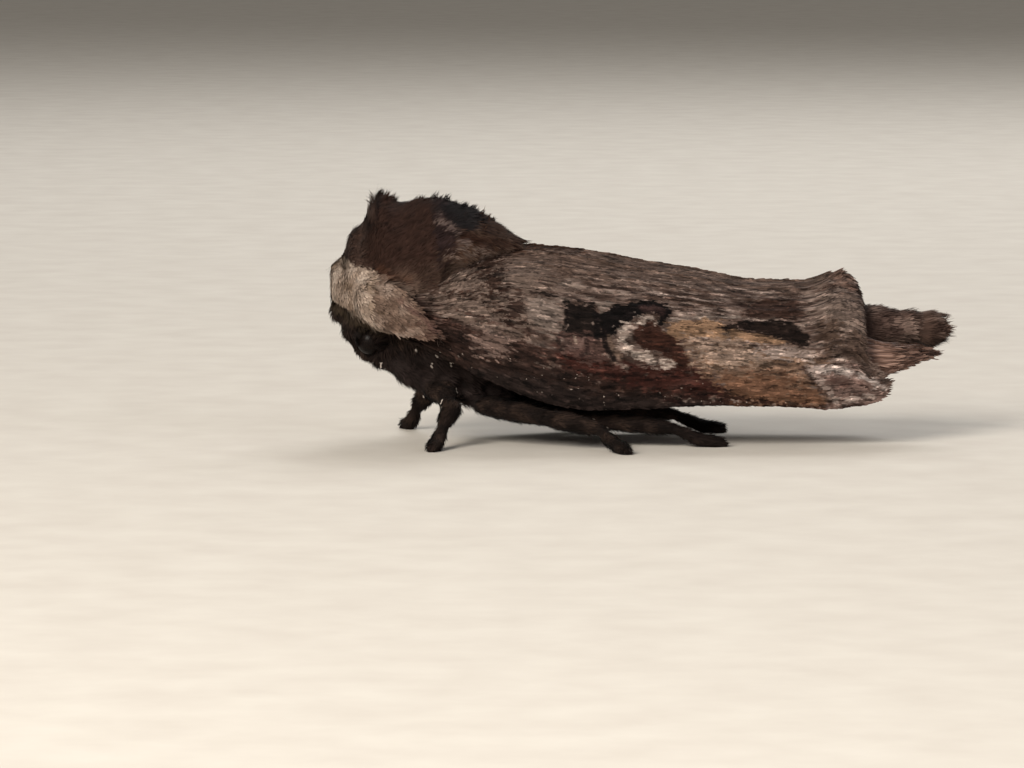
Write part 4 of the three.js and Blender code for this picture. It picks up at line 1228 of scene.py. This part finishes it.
# %% White scales on the breast and the legs
SPECKS = [(-9.72, -3.2, 4.45), (-9.85, -3.2, 4.15), (-10.2, -2.6, 3.6), (-9.1, -3, 3.65),
          (-7.7, -3.2, 3.25), (-10.9, -2.5, 4.6), (-8.4, -3, 3), (-12.4, -1.2, 3.9), (-9.5, -3.4, 2.2),
          (-9.45, -3.6, 1.7), (-10.9, -2.4, 2.2), (-1.9, -4.2, 2.1), (-1.5, -4.9, 1.3), (-1.2, -5.4, 0.9)]
SCALES_IN_SPECK = 3
SPECK_RISE = 0.14
speck_places = np.array([(x, side * y, z) for x, y, z in SPECKS for side in (1, -1)])
speck_places = np.repeat(speck_places, SCALES_IN_SPECK, axis=0)
speck_places = speck_places + chance.normal(0, 0.05, speck_places.shape)
speck_root, speck_normal, speck_shares, speck_uv = nearest_on_skin(speck_places)
speck_lie = np.tile([0.8, 0, -0.6], (len(speck_root), 1))


def speck_values(points, per_blade):
    """The body's values with the flag that makes a blade pale."""
    return body_values_of(speck_root, speck_shares)(points, per_blade) | {"speck": np.ones(len(points))}


grow("pale_specks", SCALE, speck_root + speck_normal * SPECK_RISE, speck_normal,
     lean_over(speck_normal, speck_lie, speck_root, 0.5), np.full(len(speck_root), 0.16), 0.09, 8, 0,
     speck_uv, speck_values)

# %% Locks of the tail
TAIL_LOCKS = [((13.9, -0.15, 6.0), (14.9, -0.12, 6.06)), ((13.9, 0.15, 6.0), (14.85, 0.2, 6.02)),
              ((14, -0.45, 5.4), (15.03, -0.42, 5.3)), ((14, 0.45, 5.4), (15.03, 0.42, 5.35)),
              ((13.8, -0.2, 4.9), (14.8, -0.2, 4.8)), ((13.8, 0.2, 4.9), (14.85, 0.25, 4.85))]
tail_starts, tail_tips = np.repeat(np.array(TAIL_LOCKS, float), 4, axis=0).transpose(1, 0, 2)
grow_locks("tail_locks", tail_starts, tail_tips, 0.12, 0.06)

# %% [markdown]
# ## Eyes
#
# A moth's eye is a dome of thousands of tiny lenses, dark, and satin rather than glossy. It starts as an
# icosphere in the place of the frame's plain eye, a little smaller and sunk into the head. Its lenses
# are too fine to model, so they are a bump of small cells. Short locks stand round its rim like lashes,
# from the front over the top to the rear, and their tips close over the edge of the dome.

# %% The eyes
EYE_SIZE = 0.9
EYE_SUNK = 0.16
RIM_LOCKS = 19
RIM_FROM, RIM_TO = math.radians(-25), math.radians(205)
UP = np.array([0, 0, 1])
eyes = {}
for label in ("left", "right"):
    low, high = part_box("eye_" + label)
    centre = np.array((low + high) / 2 / MM)
    radius = min(high - low) / 2 / MM * EYE_SIZE
    centre[1] -= np.sign(centre[1]) * EYE_SUNK
    bpy.ops.object.select_all(action="DESELECT")
    bpy.ops.mesh.primitive_ico_sphere_add(subdivisions=6, radius=radius, location=centre)
    eye = bpy.context.object
    eye.name = "eye_dome_" + label
    bpy.ops.object.transform_apply(location=True, rotation=False, scale=False)
    bpy.ops.object.shade_smooth()
    eyes[label] = eye
    outward = unit(np.array([-0.25, np.sign(centre[1]), 0]))
    forward = np.cross(outward, UP)
    turn = np.linspace(RIM_FROM, RIM_TO, RIM_LOCKS)[:, None]
    offset = np.cos(turn) * forward + np.sin(turn) * UP
    starts = centre + radius * (1.15 * offset + 0.3 * outward)
    tips = centre + radius * (0.72 * offset + 0.98 * outward + 0.1 * chance.normal(size=offset.shape))
    grow_locks("eye_rim_" + label, starts, tips, 0.09, 0.04)
    print(eye.name, "radius", round(radius, 2), "mm")

# %% [markdown]
# ## Feelers
#
# The feelers are threads of some sixty short joints, tucked back along the breast under the wings. Each
# joint swells a little towards its far end. A curve with a round bevel would give a smooth thread without
# joints. So a ring of corners is carried along a line through the same places as the frame's feelers,
# and its radius swells and shrinks with the joints.

# %% The feelers
FEELER_JOINTS = 62
FEELER_SIDES = 10
RINGS_PER_JOINT = 4
FEELER_START, FEELER_LENGTH = -12.15, 10.55
FEELER_RADIUS, FEELER_TAPER = 0.12, 0.07
FEELER_END_RADIUS = 0.005
feeler_out = along((-12.15, 1.85), (-11.8, 2.6), (-11.3, 3.3), (-10.4, 3.65), (-9.2, 3.75), (-7.6, 3.65),
                   (-5.8, 3.5), (-3.8, 3.6), (-1.6, 3.65))
feeler_height = along((-12.15, 5.95), (-11.8, 5.6), (-11.3, 5.25), (-10.4, 4.9), (-9.2, 4.3), (-7.6, 3.6),
                      (-5.8, 3.1), (-3.8, 2.75), (-1.6, 2.75))
feelers = {}
for side, label in SIDES:
    rings = FEELER_JOINTS * RINGS_PER_JOINT + 1
    share = np.linspace(0, 1, rings)
    x = FEELER_START + FEELER_LENGTH * share
    line = np.stack([x, side * feeler_out(x), feeler_height(x)], 1)
    run = unit(np.gradient(line, axis=0))
    sideways = unit(np.cross(run, UP))
    upward = np.cross(sideways, run)
    joint = (share * FEELER_JOINTS) % 1
    radius = (FEELER_RADIUS - FEELER_TAPER * share) * (0.84 + 0.3 * joint ** 1.5)
    radius[[0, -1]] = FEELER_END_RADIUS
    turn = np.linspace(0, 2 * math.pi, FEELER_SIDES, endpoint=False)
    ring = np.cos(turn)[None, :, None] * sideways[:, None] + np.sin(turn)[None, :, None] * upward[:, None]
    points = (line[:, None] + ring * radius[:, None, None]).reshape(-1, 3)
    first = np.arange(rings - 1)[:, None] * FEELER_SIDES
    here = np.arange(FEELER_SIDES)
    after = (here + 1) % FEELER_SIDES
    low_a, low_b = (first + here).ravel(), (first + after).ravel()
    high_a, high_b = low_a + FEELER_SIDES, low_b + FEELER_SIDES
    caps = [(0, i + 1, i) for i in range(1, FEELER_SIDES - 1)]
    last = (rings - 1) * FEELER_SIDES
    caps += [(last, last + i, last + i + 1) for i in range(1, FEELER_SIDES - 1)]
    triangles = np.concatenate([np.stack([low_a, low_b, high_b], 1),
                                np.stack([low_a, high_b, high_a], 1), caps])
    feelers[label] = mesh_from_arrays("feeler_" + label, points, triangles, {"place": points})

# %% [markdown]
# ## Claws
#
# Each foot ends in two hooked claws that spread apart. They are all the same curved thorn, modelled once
# from a cone: rings are cut across it in edit mode, its tip is bent over, and the copies are scaled,
# turned and set in place.

# %% One thorn, and its copies
THORN_CUTS = 5
THORN_BEND = 0.45
CLAW_LENGTH = 0.34
CLAW_SPREAD = 0.45
CLAW_BACK, CLAW_ASIDE, CLAW_RISE = 0.22, 0.07, 0.06
FEET = {
    "fore_left": ((-9.7, -4.9, 0.32), (-9.95, -5.7, 0.2)),
    "fore_right": ((-11.1, 4.9, 0.32), (-11.4, 5.6, 0.2)),
    "mid_left": ((-1.15, -5.9, 0.32), (-0.65, -6.9, 0.2)),
    "mid_right": ((-0.75, 5.8, 0.32), (-0.25, 6.7, 0.2)),
    "hind_left": ((3, -3.3, 0.32), (4.1, -3.2, 0.2)),
    "hind_right": ((3.2, 3.45, 0.32), (4.3, 3.4, 0.2)),
}


def thorn_mesh():
    """A hooked thorn one unit long, with its root at the origin, pointing along +X and hooked to -Z."""
    bpy.ops.object.select_all(action="DESELECT")
    bpy.ops.mesh.primitive_cone_add(vertices=10, radius1=0.16, radius2=0.012, depth=1, location=(0, 0, 0.5))
    cone = bpy.context.object
    bpy.ops.object.transform_apply(location=True, rotation=False, scale=False)
    for cut in range(1, THORN_CUTS):
        on_all_of_mesh(lambda: bpy.ops.mesh.bisect(plane_co=(0, 0, cut / THORN_CUTS), plane_no=(0, 0, 1)))
    points = coordinates(cone)
    length = points[:, 2]
    set_coordinates(cone, np.stack([length, points[:, 1], points[:, 0] - THORN_BEND * length ** 2], 1))
    on_all_of_mesh(lambda: bpy.ops.mesh.normals_make_consistent(inside=False))
    bpy.ops.object.shade_smooth()
    mesh = cone.data
    bpy.data.objects.remove(cone)
    return mesh


thorn = thorn_mesh()
thorn_copies = []
for ankle, toe in FEET.values():
    ankle, toe = Vector(ankle), Vector(toe)
    ahead = (toe - ankle).normalized()
    aside = ahead.cross(Vector(UP)).normalized()
    for half in (-1, 1):
        direction = (ahead + CLAW_SPREAD * half * aside).normalized()
        turn = direction.to_track_quat("X", "Z").to_matrix().to_4x4()
        place = toe - ahead * CLAW_BACK + aside * half * CLAW_ASIDE + Vector((0, 0, CLAW_RISE))
        mesh = thorn.copy()
        mesh.transform(Matrix.Translation(place) @ turn @ Matrix.Scale(CLAW_LENGTH, 4))
        copy = bpy.data.objects.new("claw", mesh)
        bpy.context.scene.collection.objects.link(copy)
        thorn_copies.append(copy)
claws = joined("claws", thorn_copies)
print(len(FEET) * 2, "claws,", len(claws.data.polygons), "faces")

# %% [markdown]
# ## Materials
#
# Wing scales and hairs are thin plates of chitin, ridged too finely to see. They are matt with a faint
# sheen, and what shows is their pigment. A material here is a chain of colours, each laid over the last.
# One small function adds a node. Two more do what every finish needs: noise that is stretched to a real
# size, and a colour laid over another where a stored value is high, with an edge that a noise pushes to
# and fro. The scales of the noise say how many grains go in a millimetre in each direction.

# %% Node helpers
def node(tree, kind, inputs=None, output=0, stops=(), **settings):
    """Adds a node and gives one of its outputs. A socket is linked, and any other input is filled in."""
    made = tree.nodes.new("ShaderNode" + kind)
    for key, value in settings.items():
        setattr(made, key, value)
    for key, value in (inputs or {}).items():
        if isinstance(value, bpy.types.NodeSocket):
            tree.links.new(value, made.inputs[key])
        else:
            made.inputs[key].default_value = value
    for _ in stops[2:]:
        made.color_ramp.elements.new(0.5)
    for place, (position, colour) in enumerate(stops):
        made.color_ramp.elements[place].position = position
        made.color_ramp.elements[place].color = linear(colour)
    return made.outputs[output]


def new_material(name, roughness, specular, sheen=0.0):
    """A material, with its node tree and its Principled shader."""
    material = bpy.data.materials.new(name)
    material.use_nodes = True
    shader = material.node_tree.nodes["Principled BSDF"]
    shader.inputs["Roughness"].default_value = roughness
    shader.inputs["Specular IOR Level"].default_value = specular
    shader.inputs["Sheen Weight"].default_value = sheen
    shader.inputs["Sheen Roughness"].default_value = 0.4
    print(name)
    return material, material.node_tree, shader


def noise(tree, place, scale, detail, wander=0.0, low=0.0):
    """Noise of a place in millimetres, widened from its usual 0.3 to 0.7 so that it fills low to 1."""
    stretched = node(tree, "VectorMath", {0: place, 1: scale}, operation="MULTIPLY")
    raw = node(tree, "TexNoise", {"Vector": stretched, "Scale": 1.0, "Detail": detail,
                                  "Distortion": wander}, output="Fac")
    return node(tree, "MapRange", {"Value": raw, "From Min": 0.3, "From Max": 0.7, "To Min": low})


def lay_over(tree, colour, top, value, grain, ragged, low, high, strength=1.0):
    """The top colour over another where a value, pushed by a ragged grain, rises from low to high."""
    pushed = node(tree, "Math", {0: grain, 1: ragged, 2: value}, operation="MULTIPLY_ADD")
    mask = node(tree, "MapRange", {"Value": pushed, "From Min": low, "From Max": high, "To Max": strength},
                interpolation_type="SMOOTHSTEP")
    return node(tree, "MixRGB", {"Fac": mask, "Color1": colour, "Color2": top})


def lay_markings(tree, colour, markings, grain):
    """All the markings over a colour, one after the other."""
    for name, mark in markings.items():
        depth = node(tree, "Attribute", output="Fac", attribute_name=name)
        colour = lay_over(tree, colour, linear(mark["colour"]), depth, grain, mark["ragged"],
                          -mark["soft"], mark["soft"], mark["strength"])
    return colour


def shaded(tree, colour, *terms):
    """The colour, lighter or darker: each term is (value, darkest, lightest)."""
    for value, darkest, lightest in terms:
        gain = node(tree, "MapRange", {"Value": value, "To Min": darkest, "To Max": lightest})
        colour = node(tree, "HueSaturation", {"Value": gain, "Color": colour})
    return colour


# %% [markdown]
# The scales of a forewing lie in rows along the wing, so every noise is stretched along it. The fine
# one has 8.5 grains in a millimetre across the wing, 0.12 mm each, the size of a real scale, and gives
# the eye the rows. The streaks are 0.3 mm wide, three scales, and make the look of split bark. Clouds
# of half a millimetre keep a marking from looking printed. Thin dark and pale lines are the scales
# that stand on edge. A low roughness would look like varnish, so it is 0.8, with little shine.

# %% Lapped wing scales
wing_material, tree, shader = new_material("lapped_wing_scales", 0.8, 0.07)
wing_map = node(tree, "Attribute", output="Vector", attribute_name="map")
fine = noise(tree, wing_map, (1.1, 8.5, 1), 2.0)
streak = noise(tree, wing_map, (0.75, 3.5, 1), 3.0, 0.3)
cloud = noise(tree, wing_map, (0.9, 1.9, 1), 3.0, 0.3)
dark_line = node(tree, "MapRange", {"Value": noise(tree, wing_map, (1.25, 5.8, 3), 4.0, 0.5),
                                    "From Min": 0.56, "From Max": 0.78}, interpolation_type="SMOOTHSTEP")
pale_line = node(tree, "MapRange", {"Value": noise(tree, wing_map, (1.4, 6.6, 5), 3.0, 0.4),
                                    "From Min": 0.6, "From Max": 0.9}, interpolation_type="SMOOTHSTEP")
grain = noise(tree, wing_map, (1.8, 5.5, 1), 4.0, 0.3, low=-1.0)
tone, along_blade, under, speck = [node(tree, "Attribute", output="Fac", attribute_name=name)
                                   for name in ("tone", "along", "under", "speck")]
colour = node(tree, "ValToRGB", {"Fac": streak},
              stops=((0, "#2b1f1a"), (0.35, "#4f3f38"), (0.65, "#65564f"), (1, "#8a7a71")))
colour = lay_markings(tree, colour, WING_MARKS, grain)
colour = node(tree, "MixRGB", {"Fac": under, "Color1": colour, "Color2": linear("#4b3a32")})
colour = node(tree, "MixRGB", {"Fac": speck, "Color1": colour, "Color2": linear("#a3958b")})
# The along term paints each scale darker towards its root: painted shade under the scale that laps over it.
colour = shaded(tree, colour, (streak, 0.62, 1.15), (fine, 0.68, 1.4), (cloud, 0.6, 1.12),
                (dark_line, 1.0, 0.36), (pale_line, 1.0, 2.1), (tone, 0.8, 1.2), (along_blade, 0.85, 1.1))
bump = node(tree, "Bump", {"Height": fine, "Strength": 0.4, "Distance": 0.04 * MM})
tree.links.new(colour, shader.inputs["Base Color"])
tree.links.new(bump, shader.inputs["Normal"])

# %% [markdown]
# The body's down takes a dark, a middle and a light colour in each region, mixed by clouds of about a
# millimetre. Tufts of 0.17 by 0.29 mm, a few drawn hairs wide, make it light and dark as fur is. A real
# hair is a hundredth of a millimetre thick, too fine to draw. Down is matt, with the least touch of
# sheen, because light goes in between hairs and hardly comes out. Roots are painted darker than tips,
# as painted shade deep in the coat.

# %% Body down
REGION_GRAIN = 0.12
REGION_COLOURS = {
    "abdomen": ("#2b1e1a", "#4c3c36", "#7a675e"),
    "brush": ("#261a17", "#46362f", "#7a675e"),
    # The legs' colours are dark partly in their own right and partly as painted shade, for legs in the
    # shadow under the body.
    "leg": ("#130e0c", "#201815", "#3d3029"),
    "face": ("#17110e", "#231a17", "#382d27"),
    "plate": ("#4c3c33", "#6e5c51", "#8e7d72"),
    "collar": ("#6d5c4e", "#938275", "#b4a598"),
    "saddle": ("#26160f", "#36241c", "#5a463a"),
    "crest": ("#1f1615", "#291e1d", "#352828"),
}
BREAST_COLOURS = ("#17110f", "#241c1a", "#362d2b")
THIRDS = (0, 0.5, 1)
body_material, tree, shader = new_material("body_down", 0.85, 0.1, sheen=0.03)
place = node(tree, "Attribute", output="Vector", attribute_name="place")
tuft = noise(tree, place, (3.5, 6, 6), 2.0)
cloud = noise(tree, place, (0.9, 1.3, 1.3), 2.0)
grain = noise(tree, place, (3, 5, 5), 2.0, low=-1.0)
tone, along_blade, speck = [node(tree, "Attribute", output="Fac", attribute_name=name)
                            for name in ("tone", "along", "speck")]
colour = node(tree, "ValToRGB", {"Fac": cloud}, stops=tuple(zip(THIRDS, BREAST_COLOURS)))
for name, colours in REGION_COLOURS.items():
    share = node(tree, "Attribute", output="Fac", attribute_name=name)
    top = node(tree, "ValToRGB", {"Fac": cloud}, stops=tuple(zip(THIRDS, colours)))
    colour = lay_over(tree, colour, top, share, grain, REGION_GRAIN, 0.4, 0.6)
colour = lay_markings(tree, colour, BODY_MARKS, grain)
colour = node(tree, "MixRGB", {"Fac": speck, "Color1": colour, "Color2": linear("#a89e96")})
# The along term paints each hair darker towards its root: painted shade deep in the coat.
colour = shaded(tree, colour, (tuft, 0.6, 1.35), (tone, 0.78, 1.22), (along_blade, 0.75, 1.15))
bump = node(tree, "Bump", {"Height": tuft, "Strength": 0.5, "Distance": 0.06 * MM})
tree.links.new(colour, shader.inputs["Base Color"])
tree.links.new(bump, shader.inputs["Normal"])

# %% [markdown]
# The hindwings have smaller, looser scales without a pattern. They are a little smoother than the
# forewings' and have a soft sheen. Streaks 0.12 mm wide run along them, as on the pleats of thin skin.

# %% Pale hindwing scales
hind_material, tree, shader = new_material("pale_hindwing_scales", 0.6, 0.3, sheen=0.06)
place = node(tree, "Attribute", output="Vector", attribute_name="place")
streak = noise(tree, place, (0.7, 8, 8), 2.0)
tone = node(tree, "Attribute", output="Fac", attribute_name="tone")
colour = node(tree, "ValToRGB", {"Fac": streak}, stops=((0, "#3b2820"), (0.5, "#60473c"), (1, "#96796b")))
tree.links.new(shaded(tree, colour, (tone, 0.8, 1.2)), shader.inputs["Base Color"])

# %% [markdown]
# Feelers are clad in tiny dark scales, banded at about the length of a joint, 0.2 mm, and quite matt. Their
# colours are set dark partly as painted shade, for feelers that lie in the shadow under the wings.

# %% Feeler scales
feeler_material, tree, shader = new_material("feeler_scales", 0.85, 0.06)
place = node(tree, "Attribute", output="Vector", attribute_name="place")
bands = noise(tree, place, (5, 3, 3), 2.0)
colour = node(tree, "ValToRGB", {"Fac": bands}, stops=((0, "#120d0b"), (1, "#271e1a")))
tree.links.new(colour, shader.inputs["Base Color"])

# %% [markdown]
# The cornea is a sheet of lenses, each 0.03 mm across in a real moth. They are drawn 0.07 mm across, 14
# to a millimetre, so that they show. A thin clear coat over a rather dull, nearly black ground gives the
# satin glint of a dark eye. Claws are bare horn, the smoothest part of the moth, worn paler in patches
# of 0.17 mm. Neither stores its place, so the object's own coordinates are scaled up to millimetres.

# %% Cornea and claw horn
def place_in_millimetres(tree):
    """The place on the object, in millimetres."""
    own = node(tree, "TexCoord", output="Object")
    return node(tree, "VectorMath", {0: own, 1: (1 / MM, 1 / MM, 1 / MM)}, operation="MULTIPLY")


eye_material, tree, shader = new_material("faceted_cornea", 0.4, 0.04)
shader.inputs["Coat Weight"].default_value = 0.06
shader.inputs["Coat Roughness"].default_value = 0.2
facets = node(tree, "TexVoronoi", {"Vector": place_in_millimetres(tree), "Scale": 14.0}, output="Distance")
colour = node(tree, "ValToRGB", {"Fac": facets}, stops=((0.1, "#1c1411"), (0.6, "#0c0807")))
bump = node(tree, "Bump", {"Height": facets, "Strength": 0.5, "Distance": 0.03 * MM}, invert=True)
tree.links.new(colour, shader.inputs["Base Color"])
tree.links.new(bump, shader.inputs["Normal"])

claw_material, tree, shader = new_material("claw_horn", 0.3, 0.5)
worn = noise(tree, place_in_millimetres(tree), (6, 6, 6), 2.0)
colour = node(tree, "ValToRGB", {"Fac": worn}, stops=((0, "#1f140e"), (1, "#3c281b")))
tree.links.new(colour, shader.inputs["Base Color"])

# %% [markdown]
# The floor is uncoated card, quite matt, with the faint mottle of clumped paper fibres. The clumps are
# about 3 mm, so 300 to a metre, and keep the ground from looking like an empty backdrop.

# %% Floor card
floor_material, tree, shader = new_material("matt_card", 0.85, 0.3)
own = node(tree, "TexCoord", output="Object")
speckle = noise(tree, own, (300, 300, 300), 3.0)
colour = node(tree, "ValToRGB", {"Fac": speckle}, stops=((0, "#d3ccc2"), (1, "#dbd5cb")))
tree.links.new(colour, shader.inputs["Base Color"])
floor.data.materials.append(floor_material)

# %% [markdown]
# ## Put it all in the frame
#
# The pieces that were modelled in millimetres come down to metres. The moth is still, so everything rides
# on the one body. Each piece takes its material and hides the plain solids that it stands for.

# %% Bring down to metres and dress
for thing in [skin, claws, *forewings.values(), *hindwings.values(), *eyes.values()]:
    thing.data.transform(Matrix.Scale(MM, 4))


def dress(thing, material, slot, *nodes):
    """Gives a piece its material and its body, and hides the solids that it stands for. The slot is not
    used.
    """
    thing.data.materials.clear()
    thing.data.materials.append(material)
    thing.data.polygons.foreach_set("use_smooth", np.ones(len(thing.data.polygons), bool))
    thing.data.update()
    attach(thing, "root")
    if nodes:
        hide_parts(*nodes)


BODY_SLOTS = {
    "coat_breast": "dark_hair", "coat_crest": "dark_hair", "coat_saddle": "black_hair",
    "coat_collar": "pale_hair", "coat_plate": "pale_hair", "coat_face": "dark_hair",
    "coat_abdomen": "abdomen_hair", "coat_brush": "abdomen_hair", "coat_leg": "leg_hair",
    "crest_locks": "dark_hair", "shawl_locks": "dark_hair", "tail_locks": "abdomen_hair",
    "pale_specks": "dark_hair", "eye_rim_left": "dark_hair", "eye_rim_right": "dark_hair",
}
dress(skin, body_material, "dark_hair", *flesh)
for name, slot in BODY_SLOTS.items():
    dress(coats[name], body_material, slot)
for _, label in SIDES:
    dress(forewings[label], wing_material, "wing_scales", "forewing_" + label)
    for name in ("scales_", "wing_specks_", "fringe_", "edge_hair_"):
        dress(coats[name + label], wing_material, "wing_scales")
    dress(hindwings[label], hind_material, "hindwing_scales", "hindwing_" + label)
    dress(coats["hindwing_fringe_" + label], hind_material, "hindwing_scales")
    dress(eyes[label], eye_material, "eye_lens", "eye_" + label)
    dress(feelers[label], feeler_material, "leg_hair", "antenna_" + label)
dress(claws, claw_material, "eye_lens")
print("the skin stands for", len(flesh), "solids")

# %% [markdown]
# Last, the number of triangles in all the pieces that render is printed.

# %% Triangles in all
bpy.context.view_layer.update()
shown = [thing for thing in bpy.context.scene.objects if thing.type == "MESH" and not thing.hide_render]
print(sum(len(p.vertices) - 2 for thing in shown for p in thing.data.polygons), "triangles in all")
